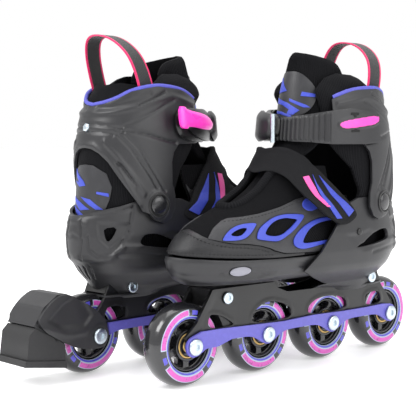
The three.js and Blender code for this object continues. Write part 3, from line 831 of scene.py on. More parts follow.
def join(name: str, parts: Sequence[bpy.types.Object]) -> bpy.types.Object:
    """Returns the parts joined into one object of that name."""
    alone(parts[0])
    for part in parts:
        part.select_set(True)
    bpy.ops.object.join()
    parts[0].name = parts[0].data.name = name
    return parts[0]


# ---------------------------------------------------------------- a skate's place
class Skate:
    """One skate: its side, where it stands, and how its pieces are handed to the frame."""

    def __init__(self, side: Side, frame: dict[str, Any], paint: Paint) -> None:
        """Finds the skate's place from its wheels' joints."""
        self.side, self.paint = side, paint
        self.prefix = side.name.lower()
        self.out = float(side.value)
        self.joints = {j["name"]: j for j in frame["joints"]}
        first, last = (Vector(self.joint(f"wheel_{i}_spin")["pos_m"]) for i in (1, 4))
        ahead = (first - last).normalized()
        middle = (first + last) / 2
        turn = math.atan2(ahead.y, ahead.x)
        ground = Vector((middle.x, middle.y, 0.0))
        self.place = (Matrix.Translation(ground) @ Matrix.Rotation(turn, 4, "Z")
                      @ Matrix.Diagonal((MM, MM, MM, 1.0)))
        self.axle_z = middle.z / MM
        self.pitch = (first - last).length / MM / 3

    def joint(self, name: str) -> dict[str, Any]:
        """Returns this skate's joint of that name."""
        return self.joints[f"{self.prefix}_{name}"]

    def axles(self) -> list[float]:
        """Returns the four axles' stations, front to rear."""
        return [self.pitch * k for k in (1.5, 0.5, -0.5, -1.5)]

    def add(self, obj: bpy.types.Object, finish: str, body: str, stands_for: Sequence[str] = (),
            slot: str = "shell_plastic") -> bpy.types.Object:
        """Puts a finished piece in its place, on its body, with its finish.

        Args:
            obj: The piece, in the skate's own frame.
            finish: The finish's name.
            body: The body it rides on, without the skate's prefix; "" leaves it on no body.
            stands_for: The CAD nodes that it replaces, without the prefix.
            slot: The record's material slot; not used.
        Returns:
            The piece.
        """
        obj.name = obj.data.name = f"{self.prefix}_{obj.name.split('.')[0]}_look"
        obj.data.transform(self.place)
        if finish:
            obj.data.materials.clear()
            obj.data.materials.append(self.paint(finish))
        if body:
            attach(obj, f"{self.prefix}_{body}")
        if stands_for:
            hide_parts(*(f"{self.prefix}_{node}" for node in stands_for))
        LOG.info("%s: %d faces", obj.name, len(obj.data.polygons))
        return obj


# ---------------------------------------------------------------- chassis and wheels
def slab(name: str, outline: Points, low: float, high: float, bevel: float = 0.6,
         holes: Sequence[np.ndarray] = ()) -> bpy.types.Object:
    """Returns a solid of [x, z] side outline between y = low and y = high, with its edges rounded."""
    face = high if high > 0 else low
    return panel(name, Plane(face), np.array(outline, float), holes, step=4.0,
                 thickness=high - low, bevel=bevel)


def arc(x: float, z: float, radius: float, start: float, end: float,
        count: int = 12) -> list[tuple[float, float]]:
    """Returns points of an arc between two angles in degrees."""
    angles = [math.radians(start + (end - start) * i / count) for i in range(count + 1)]
    return [(x + radius * math.cos(a), z + radius * math.sin(a)) for a in angles]


def socket_head(name: str, centre: Sequence[float], radius: float, height: float, side: float,
                key: float) -> bpy.types.Object:
    """Returns a round screw head with a six-sided key hole.

    Args:
        name: The piece's name.
        centre: The middle of the head's underside.
        radius: The head's radius.
        height: The head's height.
        side: The sign of Y that the head faces.
        key: Across the key hole's corners.
    Returns:
        The head.
    """
    x, y, z = centre
    profile = [(0.0, 0.0), (radius * 0.97, 0.0), (radius, height * 0.15), (radius, height * 0.55),
               (radius * 0.93, height * 0.85), (radius * 0.8, height), (0.0, height)]
    head = turned(name, [(r, h * side) for r, h in profile], (x, y, z), 32)
    bpy.ops.object.select_all(action="DESELECT")
    bpy.ops.mesh.primitive_cylinder_add(vertices=6, radius=key, depth=height * 1.2,
                                        location=(x, y + side * height, z),
                                        rotation=(math.pi / 2, 0, 0))
    cutter = bpy.context.object
    modify(head, "BOOLEAN", operation="DIFFERENCE", object=cutter, solver="EXACT")
    bpy.data.objects.remove(cutter)
    smooth(head, 35)
    return head


@dataclass
class Wheel:
    """A cast tyre on a spoked hub, with two ball bearings and a spacer."""

    radius: float
    half: float = 12.0
    rim: float = 22.0
    bearing: float = 11.0
    spokes: int = 5

    def tyre(self, spot: Sequence[float]) -> bpy.types.Object:
        """Returns the tyre, round in its tread and flat on its printed sides."""
        r, h = self.radius, self.half
        side = [(self.rim + 0.3, h - 2.8), (self.rim + 1.2, h - 1.0), (r - 11.0, h - 0.25),
                (r - 8.0, h), (r - 5.5, h - 0.35), (r - 3.6, h - 1.6), (r - 2.0, h - 3.6),
                (r - 0.9, h - 6.0), (r - 0.25, h - 8.8), (r, 0.0)]
        profile = side + [(a, -b) for a, b in side[-2::-1]]
        profile.append(profile[0])
        return turned("tyre", profile, spot, 96, uv_centre=True)

    def hub(self, spot: Sequence[float]) -> bpy.types.Object:
        """Returns the hub: a rim, spokes with webs between windows, and a boss for the bearings."""
        windows = []
        for i in range(self.spokes):
            middle = 90 + 360 * i / self.spokes
            half = 360 / self.spokes / 2
            window = (arc(0, 0, self.rim - 2.8, middle - half + 9, middle + half - 9, 6)
                      + arc(0, 0, self.bearing + 2.0, middle + half - 15, middle - half + 15, 4))
            windows.append(rounded(window, 2))
        rim = np.array(arc(0, 0, self.rim, 0, 360 - 7.5, 47))
        web = slab("hub", rim, -self.half + 5.5, self.half - 5.5, 0.7, windows)
        lip = turned("lip", self.ring(self.rim - 1.8, self.rim, self.half - 2.6), (0, 0, 0), 48)
        boss = turned("boss", self.ring(self.bearing, self.bearing + 2.4, self.half - 2.0),
                      (0, 0, 0), 40)
        hub = join("hub", [web, lip, boss])
        hub.data.transform(Matrix.Translation(spot))
        return hub

    @staticmethod
    def ring(inner: float, outer: float, half: float) -> list[tuple[float, float]]:
        """Returns the closed profile of a ring with small chamfers."""
        c = min(0.5, (outer - inner) / 3)
        corners = [(inner, -half + c), (inner + c, -half), (outer - c, -half), (outer, -half + c),
                   (outer, half - c), (outer - c, half), (inner + c, half), (inner, half - c)]
        return corners + corners[:1]

    def bearings(self, spot: Sequence[float]) -> list[bpy.types.Object]:
        """Returns the races and the shields of both bearings, and the spacer between them."""
        x, y, z = spot
        races, shields = [], []
        for side in (-1, 1):
            centre = (x, y + side * (self.half - 5.2), z)
            races.append(turned("race", self.ring(self.bearing - 1.7, self.bearing, 3.5), centre, 40))
            races.append(turned("race", self.ring(4.2, 6.0, 3.5), centre, 32))
            shields.append(turned("shield", self.ring(6.1, self.bearing - 1.8, 3.0), centre, 40))
        races.append(turned("spacer", self.ring(4.2, 5.4, self.half - 9.0), (x, y, z), 32))
        return [join("bearing_races", races), join("bearing_shields", shields)]

    def build(self, skate: Skate, number: int, station: float) -> None:
        """Builds the wheel at a station along the skate."""
        spot = (station, 0.0, skate.axle_z)
        body = f"wheel_{number}"
        named = [("tyre", self.tyre(spot), "tyre", (f"tyre_{number}",), "tyre_polyurethane"),
                 ("hub", self.hub(spot), "hub", (f"hub_{number}",), "hub_plastic")]
        races, shields = self.bearings(spot)
        named += [("races", races, "brass", (), "zinc_steel"),
                  ("shields", shields, "hub", (), "hub_plastic")]
        for label, obj, finish, nodes, slot in named:
            obj.name = f"{label}_{number}"
            skate.add(obj, finish, body, nodes, slot)


@dataclass
class Chassis:
    """The frame under the boot, its side rails, its axles and the bolts that hold it to the boot."""

    inner: float = 13.2
    wall: float = 2.8
    rail: float = 2.2
    deck: float = DECK
    lug: float = 8.5
    arch: float = 38.0
    front_bolt: tuple[float, float] = (90.0, 73.5)
    rear_bolt: tuple[float, float] = (-92.0, 76.5)
    rear_seat: float = 24.6

    @property
    def outer(self) -> float:
        """Half the frame's width."""
        return self.inner + self.wall

    @property
    def face(self) -> float:
        """How far out the rail's outer face is."""
        return self.outer + 0.3 + self.rail

    def rail_low(self, skate: Skate, inset: float = 0.0) -> list[tuple[float, float]]:
        """Returns the rail's lower edge from rear to front: a lobe below each axle."""
        z, (first, *_, last) = skate.axle_z, skate.axles()
        line = []
        for x in np.arange(last, first + 0.1, 3.0):
            depth = 0.0
            for axle in skate.axles():
                depth = max(depth, (self.lug + 1.5) * math.exp(-((x - axle) / 14.0) ** 2))
            front = 4.5 * min(1.0, max(0.0, (x - first + 42) / 16.0))
            line.append((x, z + 1.5 + inset - max(depth, front)))
        return line

    def rail_outline(self, skate: Skate, rear: float) -> np.ndarray:
        """Returns the rail's outline, cut off behind the station rear."""
        z, (first, second, third, last) = skate.axle_z, skate.axles()
        low = [p for p in self.rail_low(skate) if p[0] > rear]
        nose = arc(first, z, self.lug + 0.6, -80, 70, 8)
        top = [(first - 8, z + 12), (99, z + 12), (second + 4, z + 10.2), (second - 20, z + 9.4),
               (second - 60, z + 10.6), (third - 16, z + 9.6), (-95, z + 9.6), (last + 10, z + 10.2)]
        tail = arc(last, z, self.lug + 0.6, 100, 260, 8) if rear < last else [(rear, z + 9.5)]
        return np.array(low + nose + [p for p in top if p[0] > rear] + tail)

    def rails(self, skate: Skate, braked: bool) -> None:
        """Builds the rails on both sides."""
        for side, word in ((1, "left"), (-1, "right")):
            outline = self.rail_outline(skate, skate.axles()[3] + 13.5 if braked else -500.0)
            z = skate.axle_z

            def relief(flat: np.ndarray, _: np.ndarray) -> np.ndarray:
                """A shallow ring sunk round each axle."""
                lift = np.zeros(len(flat))
                for x in skate.axles():
                    away = np.hypot(flat[:, 0] - x, flat[:, 1] - z)
                    lift -= 0.35 * (np.abs(away - 9.4) < 0.6)
                return lift

            obj = panel(f"rail_{word}", Plane(side * self.face), outline, step=1.8,
                        thickness=self.rail, relief=relief, bevel=0.5)
            skate.add(obj, "rail", "base", (f"rail_{word}",), "rail_purple")

    @staticmethod
    def windows() -> list[np.ndarray]:
        """Returns the windows in each side of the frame."""
        shapes = [
            [(113, 48), (111, 61), (104, 60.5), (96, 58.5), (84, 51.5), (82, 48.5)],
            [(10, 46), (11, 56), (19, 61), (32, 64.5), (41, 65), (52, 62), (60, 55), (61, 47)],
            [(-66, 46), (-66, 56), (-56, 60.5), (-36, 62.5), (-22, 60.5), (-12, 55), (-12, 46.5)],
            [(-94, 46.5), (-93, 56), (-98, 59), (-110, 60), (-116, 58), (-119, 47)],
        ]
        return [rounded(shape, 3) for shape in shapes]

    def frame(self, skate: Skate) -> None:
        """Builds the frame: two windowed sides joined by bridges over the wheels."""
        first, second, third, last = skate.axles()
        z = skate.axle_z
        low = self.rail_low(skate, 2.5)
        top = [(first + 8, z + 8), (first - 4, z + 19), (first - 12, z + 31), (first - 22, self.deck),
               (first - 60, self.deck), (second - 10, self.deck), (27, 76), (15, 71.5), (-17, 71),
               (-42, 74), (-60, self.deck), (last + 18, self.deck), (last + 11, 66),
               (last + 2, z + 20), (last - 7, z + 9)]
        outline = np.array(low + top)
        holes = self.windows()

        def relief(flat: np.ndarray, _: np.ndarray) -> np.ndarray:
            """A raised rim round each window, and a rib down the front post."""
            lift = np.zeros(len(flat))
            for hole in holes:
                away = distance(flat, hole, True)
                lift += 0.7 * np.exp(-((away - 1.2) / 1.5) ** 2)
            post = distance(flat, [(first - 20, 78), (first - 2, 52)])
            return lift + 0.6 * np.clip(1.6 - post / 5.0, 0, 1)

        parts = [panel("frame", Plane(side * self.outer), outline, holes, 1.9, self.wall, -0.7,
                       relief, 0.5) for side in (-1, 1)]
        bridges = [
            [(first - 22, self.deck), *arc(first, z, self.arch, 128, 172, 6),
             *arc(second, z, self.arch, 8, 100, 10), (29, self.deck)],
            [(-59, self.deck), *arc(third, z, self.arch, 118, 172, 6),
             *arc(last, z, self.arch, 8, 70, 8), (last + 18, self.deck)],
        ]
        reach = self.inner + 0.3
        parts += [slab("bridge", bridge, -reach, reach, 0.0) for bridge in bridges]
        skate.add(join("frame", parts), "frame", "base", ("frame",), "frame_plastic")

    def axle(self, skate: Skate, number: int, station: float, seat: float) -> None:
        """Builds an axle bolt: a shaft, and a socket head at each end."""
        z = skate.axle_z
        heads = [socket_head("axle", (station, side * (seat + 0.3), z), 7.2, 2.5, side, 3.1)
                 for side in (-1, 1)]
        shaft = turned("shaft", [(0, -seat - 0.4), (4.0, -seat - 0.4), (4.0, seat + 0.4),
                                 (0, seat + 0.4)], (station, 0, z), 32)
        obj = join(f"axle_{number}", heads + [shaft])
        skate.add(obj, "zinc", "base", (f"axle_{number}",), "zinc_steel")

    def frame_bolts(self, skate: Skate) -> None:
        """Builds the two cross bolts under the boot."""
        for label, x, z, seat in (("front", *self.front_bolt, self.outer + 0.1),
                                  ("rear", *self.rear_bolt, self.rear_seat)):
            heads = [socket_head("bolt", (x, side * seat, z), 5.4, 2.0, side, 2.6)
                     for side in (-1, 1)]
            shaft = turned("shaft", [(0, -seat), (3, -seat), (3, seat), (0, seat)], (x, 0, z), 24)
            skate.add(join(f"{label}_bolt", heads + [shaft]), "zinc", "base", (), "zinc_steel")

    def build(self, skate: Skate, braked: bool, brake_reach: float) -> None:
        """Builds the whole chassis."""
        self.frame(skate)
        self.rails(skate, braked)
        for number, station in enumerate(skate.axles(), 1):
            seat = brake_reach if braked and number == 4 else self.face
            self.axle(skate, number, station, seat)
            Wheel(skate.axle_z).build(skate, number, station)
        self.frame_bolts(skate)


# ---------------------------------------------------------------- forms of the boot


def stations(rows: Points, opens: str) -> Form:
    """Returns the form whose stations' heights are counted from the deck."""
    return Form([(DECK + height, *rest) for height, *rest in rows], opens)


CUFF_ROWS = ((45, -132, -66, 14, 48.6), (80, -130, -66, 14, 48.6), (105, -128, -66, 12, 47.8),
             (123, -127, -66, 10, 47), (140, -124.5, -66, 8, 46), (161, -117, -66, 6, 44),
             (185, -109, -66, 4, 42))
HEEL = stations(((-17, -106, -74, -46, 20), (-12, -111, -74, -34, 22), (-6, -117, -60, 160, 26),
                 (2, -123, -56, 160, 36), (8, -128, -55, 160, 43), (13, -131, -55, 160, 45.5),
                 (26, -141, -55, 160, 47), (43, -142, -55, 160, 46.5),
                 (60, -138.5, -55, 160, 44.5), (76, -134, -55, 160, 43.5)), "front")
TOE = stations(((3.5, -95, 50, 122, 30), (8, -95, 50, 133, 36), (16, -95, 50, 139, 40),
                (24, -95, 50, 140.5, 42), (30, -95, 50, 140, 42), (37, -95, 50, 139, 41)), "back")
UPPER = stations(((20, -110, 48, 139, 41), (35, -110, 46, 137, 41), (45, -110, 42, 129.5, 39),
                  (53, -110, 38, 120, 37), (63, -110, 32, 98, 34.5), (73, -110, 24, 75, 32),
                  (83, -110, 14, 57, 29), (93, -110, 8, 46, 26), (108, -110, 2, 36, 22)), "back")
CUFF = stations(CUFF_ROWS, "front")
BAND = stations(CUFF_ROWS, "back")
SOCK = stations(((7.3, -118, -52, 112, 27), (15, -126, -52, 120, 31.8), (28, -132, -52, 122, 33.2),
                 (40, -131, -52, 112, 32.2), (53, -130, -55, 80, 29.8),
                 (72, -127, -60, 46, 28.5)), "back")
LINER = stations(((8, -118, -50, 112, 27), (15, -128, -50, 121, 31.8), (28, -133, -50, 123, 33.2),
                  (40, -133, -52, 112, 35), (53, -132, -56, 84, 38), (66, -130, -60, 50, 41),
                  (80, -127.5, -62, 12, 43.6), (123, -124, -64, 6, 42.4),
                  (156, -115, -64, 4, 39.6), (166, -112, -64, 8, 38.5),
                  (177, -108, -62, 12, 37), (185, -102, -62, 12, 34),
                  (191, -95, -62, 10, 29)), "front")
TONGUE = stations(((50, -50, 20, 119, 22), (63, -50, 10, 91, 22), (73, -54, 4, 68, 22),
                   (83, -58, -6, 50, 22.5), (93, -60, -16, 38, 23), (106, -60, -28, 26, 24),
                   (118, -62, -30, 16, 26), (126, -62, -32, 9, 27), (165, -68, -36, 3, 27),
                   (180, -70, -38, 0, 24), (210, -74, -42, -8, 18)), "back")
STRAP = stations(((40, -100, 0, 92, 48), (56, -100, 0, 88, 47.5), (71, -92, 4, 76, 45),
                  (78, -90, 4, 66, 40), (93, -80, 2, 44, 33), (108, -70, 0, 34, 27),
                  (120, -60, -2, 28, 23), (132, -50, -6, 22, 19)), "back")


class Level:
    """A flat face at a height, whose pattern is the plan view; grow moves it up or down."""

    def __init__(self, z: float, up: float) -> None:
        """Sets the height, and up: 1 to face upwards and -1 to face downwards."""
        self.z, self.up = z, up

    def point(self, u: np.ndarray, v: np.ndarray, grow: Any = 0.0) -> np.ndarray:
        """Returns the places of plan points (u, v)."""
        return np.stack([np.asarray(u), np.asarray(v), self.z + self.up * (grow + 0 * u)], -1)


@dataclass
class Mark:
    """A ridge along a line of a pattern, or a groove where its lift is negative.

    An area is raised or sunk as a whole, with a slope of that width along its outline.
    """

    line: Points
    lift: float
    width: float = 1.5
    area: bool = False

    def height(self, spots: np.ndarray) -> np.ndarray:
        """Returns how far the mark lifts each pattern point."""
        away = distance(spots, self.line, self.area)
        if not self.area:
            return self.lift * np.exp(-(away / self.width) ** 2)
        signed = np.where(inside(spots, np.array(self.line, float)), away, -away)
        return self.lift * np.clip(0.5 + signed / self.width, 0, 1)


def carved(marks: Sequence[Mark]) -> Callable[[np.ndarray, np.ndarray], np.ndarray]:
    """Returns a panel's relief with those marks, alike on both sides."""
    def relief(flat: np.ndarray, _: np.ndarray) -> np.ndarray:
        """Sums the marks."""
        spots = np.stack([np.abs(flat[:, 0]), flat[:, 1]], -1)
        return sum(mark.height(spots) for mark in marks)

    return relief


def mirrored(points: Points) -> np.ndarray:
    """Returns a closed pattern outline: the points, then their mirror image."""
    line = np.array(points, float)
    return np.concatenate([line, line[::-1] * (-1, 1)])


def flip(points: Points, side: float) -> np.ndarray:
    """Returns the pattern points put on the side of that sign."""
    return np.array(points, float) * (side, 1)


def stud(name: str, form: Any, spot: Sequence[float], grow: float, profile: Points,
         steps: int = 32) -> bpy.types.Object:
    """Returns a turned head that stands on a form at a pattern point, square to it."""
    place, out = form.out(np.array([spot], float), grow)
    head = turned(name, profile, (0, 0, 0), steps)
    turn = Vector((0, 1, 0)).rotation_difference(Vector(out[0])).to_matrix().to_4x4()
    head.data.transform(Matrix.Translation(Vector(place[0])) @ turn)
    return head


def dome(radius: float, height: float) -> list[tuple[float, float]]:
    """Returns the profile of a domed head."""
    return [(0, -2), (radius, -2), (radius, height * 0.35), (radius * 0.93, height * 0.6),
            (radius * 0.75, height * 0.83), (radius * 0.45, height * 0.96), (0, height)]


# ---------------------------------------------------------------- shells
@dataclass
class HeelShell:
    """The rear shell of the boot, with sculpted sides, slots and a rounded rim."""

    wall: float = 3.0

    def outline(self) -> np.ndarray:
        """Returns the shell's pattern outline."""
        return HEEL.both([(-138, 143), (-136, 144), (-112, 151), (-98, 155), (-84, 158),
                          (-49, 156), (-35, 151), (-22, 136), (1, 110), (21, 93), (10, 88),
                          (-27, 76), (-50, 66), (-78, 65.5), (-105, 65.5)])

    def marks(self) -> list[Mark]:
        """Returns the grooves, ridges and recesses of each side."""
        return [
            Mark([(38, 137), (42, 122), (53, 114), (70, 125), (76, 135)], -1.6, 2.0, True),
            Mark([(13, 138), (18, 121), (13, 105)], -1.3, 1.6),
            Mark([(27, 125), (28, 113), (39, 107), (54, 109), (65, 117), (75, 129)], -1.3, 1.6),
            Mark([(78, 151), (76, 137)], -1.0, 1.4),
            Mark([(0, 104), (11, 103), (37, 103), (51, 104), (68, 115)], 1.5, 2.6),
            Mark([(68, 115), (86, 114), (112, 113)], 1.1, 2.4),
            Mark([(62, 108), (85, 108), (112, 105)], -1.1, 1.6),
            Mark([(0, 142), (12, 142), (45, 144), (76, 149)], -1.0, 1.4),
            Mark([(0, 138), (10, 138), (24, 136)], 0.8, 2.4),
            Mark([(0, 126), (12, 124)], -0.8, 1.8),
            Mark([(83, 112), (118, 126), (134, 122), (126, 107)], -0.9, 2.4, True),
        ] + [Mark([(a, 96), (a - 2.5, 86)], -1.8, 1.3) for a in (7, 19)]

    def build(self, skate: Skate) -> None:
        """Builds the shell and its sole."""
        holes = []
        for side in (1.0, -1.0):
            slot = flip([(84, 116), (88, 124), (94, 126), (106, 125), (121, 118), (130, 111),
                         (129, 110), (103, 113)], side)
            holes += [rounded(slot, 2), rounded(flip([(46, 132), (62, 133), (58, 124), (51, 119),
                                                      (48, 125)], side), 1)]
        shell = panel("heel_shell", HEEL, self.outline(), holes, 1.6, self.wall, 0.0,
                      carved(self.marks()), 0.9)
        plan = [(-118, 16), (-100, 21), (-60, 21), (-46, 14)]
        sole = panel("sole", Level(68, -1), np.array(plan + [(x, -y) for x, y in plan[::-1]]),
                     (), 6.0, 2.0)
        front = [(-40, 20), (75, 20)]
        plate = panel("plate", Level(DECK + 3, -1),
                      np.array(front + [(x, -y) for x, y in front[::-1]]), (), 8.0, 2.4)
        skate.add(join("heel_shell", [shell, sole, plate]), "shell", "base", ("heel_shell",))
        rivets = [stud("heel_screw", HEEL, HEEL.at([(-48, 125)], side)[0], 0.0, dome(3.2, 1.6), 20)
                  for side in (-1.0, 1.0)]
        skate.add(join("heel_screws", rivets), "frame", "base")


@dataclass
class ToeShell:
    """The front shell, that slides out of the heel shell, and the button that frees it."""

    wall: float = 3.0
    button: tuple[float, float] = (92.0, 98.3)
    button_half: tuple[float, float] = (10.0, 4.0)
    button_gap: float = 0.9

    def build(self, skate: Skate) -> None:
        """Builds the shell, its sole and the button."""
        edge = [(0, 111.5), (47, 110), (83, 108), (119, 107), (149, 106)]
        low = TOE.at([(-60, 107.5), (-60, 86)], 1.0)
        outline = mirrored([*edge, *low, (0, 86)])
        centre, (wide, high) = self.button, self.button_half
        ring = [(centre[0] + wide * math.cos(a), centre[1] + high * math.sin(a))
                for a in np.linspace(0, 2 * math.pi, 33)[:-1]]
        rim, middle = (TOE.at(points, skate.out) for points in (ring, [centre]))
        hole = (rim - middle) * (1.0 + self.button_gap / wide) + middle
        marks = [Mark([(0, 98.5), (24, 96), (66, 97), (119, 94), (143, 94)], -0.9, 1.5),
                 Mark([(0, 91), (48, 86.5), (118, 86.5), (143, 92)], -0.9, 1.5),
                 Mark([(62, 98), (77, 103), (101, 102), (123, 95), (104, 91), (78, 92)], -1.3, 2.2,
                      True),
                 Mark([(0, 108.5), (47, 107), (83, 105), (119, 104), (149, 103)], 0.5, 1.8)]
        shell = panel("toe_shell", TOE, outline, [hole], 1.8, self.wall, 0.0, carved(marks), 0.8)
        plan = TOE.point(np.linspace(-150, 150, 41), np.full(41, 87.0), -1.0)[:, :2]
        sole = panel("sole", Level(86.5, -1), plan, (), 6.0, 2.4)
        skate.add(join("toe_shell", [shell, sole]), "shell", "toe", ("toe_shell",))

        def crown(flat: np.ndarray, _: np.ndarray) -> np.ndarray:
            """A low dome."""
            away = distance(flat, rim, True)
            return 1.1 * np.clip(away / 3.5, 0, 1) ** 0.5

        button = panel("size_button", TOE, rim, (), 1.3, 5.0, -0.6, crown, 0.4)
        skate.add(button, "button", "button", ("size_button",), "button_grey")


# ---------------------------------------------------------------- upper and strap
@dataclass
class Upper:
    """The soft upper: a mesh skin under a toe cap and side overlays with windows."""

    skin: float = 3.5
    layer: float = 1.3
    cap: Points = ((0, 134), (12, 133), (25, 131), (44, 127), (54, 125), (73, 122), (88, 121),
                   (101, 119), (111, 116), (115, 114), (127, 110.4), (140, 109.6))
    windows: tuple[Points, ...] = (
        ((61, 126), (62, 133), (68, 138), (85, 139), (89, 137), (87, 129), (81, 125), (63, 125)),
        ((95, 127), (94, 132), (96, 137), (103, 143), (118, 145), (134, 144), (136, 141),
         (128, 127), (118, 122), (109, 123), (96, 125)),
        ((173, 139), (155, 140), (146, 139), (137, 134), (131, 125), (131, 118), (135, 114),
         (140, 113), (153, 116), (171, 116)))
    panes: tuple[Points, ...] = (
        ((67, 129), (68, 132), (74, 135), (81, 135), (81, 132), (78, 128)),
        ((102, 128), (102, 133), (106, 140), (119, 142), (131, 140), (131, 138), (126, 130),
         (117, 126)),
        ((169, 119), (154, 119), (140, 118), (137, 119), (138, 124), (141, 131), (149, 136),
         (168, 137)))

    def skin_outline(self) -> np.ndarray:
        """Returns the outline of the mesh skin."""
        back = UPPER.at([(-28, 186), (-28, 109)], 1.0)
        return mirrored([(0, 151), (20, 150.5), (34, 154), (36, 163), (38, 173), (50, 186), *back,
                         (156, 108.5), (145, 107.5), (116, 107.5), (82, 109.5), (45, 111.5),
                         (0, 113)])

    def cap_outline(self) -> np.ndarray:
        """Returns the outline of the toe cap."""
        return mirrored([*self.cap, (140, 107.9), (116, 107.8), (82, 109.8), (45, 111.8), (0, 113.4)])

    def overlay_outline(self, side: float) -> np.ndarray:
        """Returns the outline of the overlay on one side."""
        top = [(44, 127), (42, 133), (39, 141), (43, 143), (62, 144), (80, 146), (90, 148),
               (104, 151), (126, 157), (150, 163)]
        back = UPPER.at([(-26, 168), (-26, 109.5)], 1.0)
        low = [(156, 109), (143, 109.8), (128, 111), (116, 114.6), (112, 116.6), (101, 119.6),
               (88, 121.6), (73, 122.6), (54, 125.6)]
        return flip([*top, *back, *low], side)

    def build(self, skate: Skate) -> None:
        """Builds every layer of the upper."""
        skin = panel("upper", UPPER, self.skin_outline(), (), 3.0, self.skin, -0.9)
        skate.add(skin, "mesh", "toe", ("upper",), "upper_fabric")

        def puff(flat: np.ndarray, _: np.ndarray) -> np.ndarray:
            """A soft swell away from the seams."""
            return 1.2 * np.clip(distance(flat, self.cap_outline(), True) / 7.0, 0, 1) ** 0.5 - 0.6

        cap = panel("toe_cap", UPPER, self.cap_outline(), (), 2.6, self.layer, 0.5, puff, 0.4)
        skate.add(cap, "toe_skin", "toe", (), "upper_fabric")
        overlays, trims = [], []
        for side in (-1.0, 1.0):
            outline = self.overlay_outline(side)
            holes = [rounded(flip(window, side), 2) for window in self.windows]

            def swell(flat: np.ndarray, _: np.ndarray) -> np.ndarray:
                """A soft swell away from the edges."""
                away = distance(flat, outline, True)
                for hole in holes:
                    away = np.minimum(away, distance(flat, hole, True))
                return 0.9 * np.clip(away / 5.0, 0, 1) ** 0.5

            overlays.append(panel("overlay", UPPER, outline, holes, 2.2, self.layer, 0.3, swell,
                                  0.3))
            for hole, pane in zip(holes, self.panes):
                trims.append(panel("trim", UPPER, hole, [rounded(flip(pane, side), 2)], 1.8, 1.4,
                                   1.5, None, 0.5))
        overlay = join("overlays", overlays)
        skate.add(overlay, "synthetic", "toe", (), "upper_fabric")
        skate.add(join("window_trims", trims), "blue", "toe", (), "upper_fabric")
        self.seams(skate)

    def seams(self, skate: Skate) -> None:
        """Builds the stitch rows, the padded throat edge and a blue lobe."""
        cap = np.array(self.cap[:9])
        rows = []
        for side in (-1.0, 1.0):
            rows.append(stitches("seam", UPPER, flip(cap + (0, -2.4), side), 1.3))
            rows.append(stitches("seam", UPPER, flip([(43, 140.5), (62, 141.6), (80, 143.6),
                                                      (90, 145.5), (104, 148.4), (124, 153.6)],
                                                     side), 1.0))
        foot = [(0, 115.6), (45, 114.4), (82, 112.4), (116, 110.6)]
        rows += [stitches("seam", UPPER, flip(foot, side), 1.2) for side in (-1.0, 1.0)]
        skate.add(join("upper_stitches", rows), "thread", "toe", (), "upper_fabric")
        throat = mirrored([(0, 152), (20, 151.5), (33, 155), (36, 164), (39, 174), (50, 186),
                           (95, 187)][::-1])
        rim = piping("throat_pad", UPPER, rounded(throat, 2, False), 8.0, 7.0, -1.4)
        skate.add(rim, "collar", "toe", (), "upper_fabric")
        lobe = panel("lobe", UPPER, rounded(flip([(131, 151), (132, 158), (138, 157), (147, 149),
                                          (139, 145)], skate.out), 2), (), 1.6, 1.6, 1.9)
        skate.add(lobe, "blue", "toe", (), "upper_fabric")


@dataclass
class FootStrap:
    """The band over the instep, with a raised border and a few printed stripes."""

    thickness: float = 3.0
    low: Points = ((160, 138), (146, 132), (136, 135), (125, 144), (113, 156), (87, 171),
                   (56, 181), (27, 183), (0, 180))
    high: Points = ((0, 202), (20, 203), (55, 204), (85, 200), (123, 192), (149, 168),
                    (159, 153), (165, 142))

    def outline(self, skate: Skate) -> np.ndarray:
        """Returns the band's outline, cut off short on the inside of the foot."""
        outer = np.array([*self.low, *self.high], float) * (skate.out, 1)
        half = len(self.low)
        low, high = outer[:half], outer[half:]
        short = [(x, z) for x, z in np.array(self.low, float) if z > 150 and x > 0][::-1]
        tall = [(x, z) for x, z in np.array(self.high, float) if z > 160 and x > 0][::-1]
        inner_low = [(-x * skate.out, z) for x, z in short]
        inner_high = [(-x * skate.out, z) for x, z in tall]
        return rounded([*low, *inner_low, *inner_high, *high], 2)

    def build(self, skate: Skate) -> None:
        """Builds the band, its pink wedge and its stripes."""
        outline = self.outline(skate)

        def border(flat: np.ndarray, _: np.ndarray) -> np.ndarray:
            """A raised border and a slightly crowned middle."""
            away = distance(flat, outline, True)
            return 0.9 * np.exp(-((away - 1.6) / 1.5) ** 2) + 0.5 * np.clip((away - 4) / 8, 0, 1)

        band = panel("foot_strap", STRAP, outline, (), 1.9, self.thickness, self.thickness,
                     border, 0.6)
        skate.add(band, "strap", "toe", ("foot_strap",), "upper_fabric")
        pink = flip([(100, 177), (112, 178), (121, 168), (132, 150), (129, 150), (110, 168)],
                    skate.out)
        wedge = panel("strap_wedge", STRAP, pink, (), 1.8, 0.8, self.thickness + 1.1)
        skate.add(wedge, "stripe_pink", "toe", (), "upper_fabric")
        stripes = [[(121, 179), (129, 165), (141, 139), (135, 139), (129, 154)],
                   [(131, 178), (139, 169), (160, 145), (150, 140), (139, 160)]]
        blues = [panel("stripe", STRAP, flip(stripe, skate.out), (), 1.8, 0.8,
                       self.thickness + 1.1) for stripe in stripes]
        skate.add(join("strap_stripes", blues), "blue", "toe", (), "upper_fabric")


# ---------------------------------------------------------------- liner, tongue and loop
SWOOSH = (
    ((-31, 184), (-21, 180), (-1, 173), (4, 169), (-12, 168), (-31, 173), (-14, 172), (-30, 179)),
    ((26, 164), (44, 162.5), (45, 159.5), (26, 162)),
    ((-5, 159), (16, 157), (40, 148), (29, 148), (7, 155)),
    ((-30, 159), (-4, 154), (18, 148), (-2, 147), (-29, 156)),
    ((-28, 151), (-8, 147), (14, 141), (4, 140), (-16, 145)))


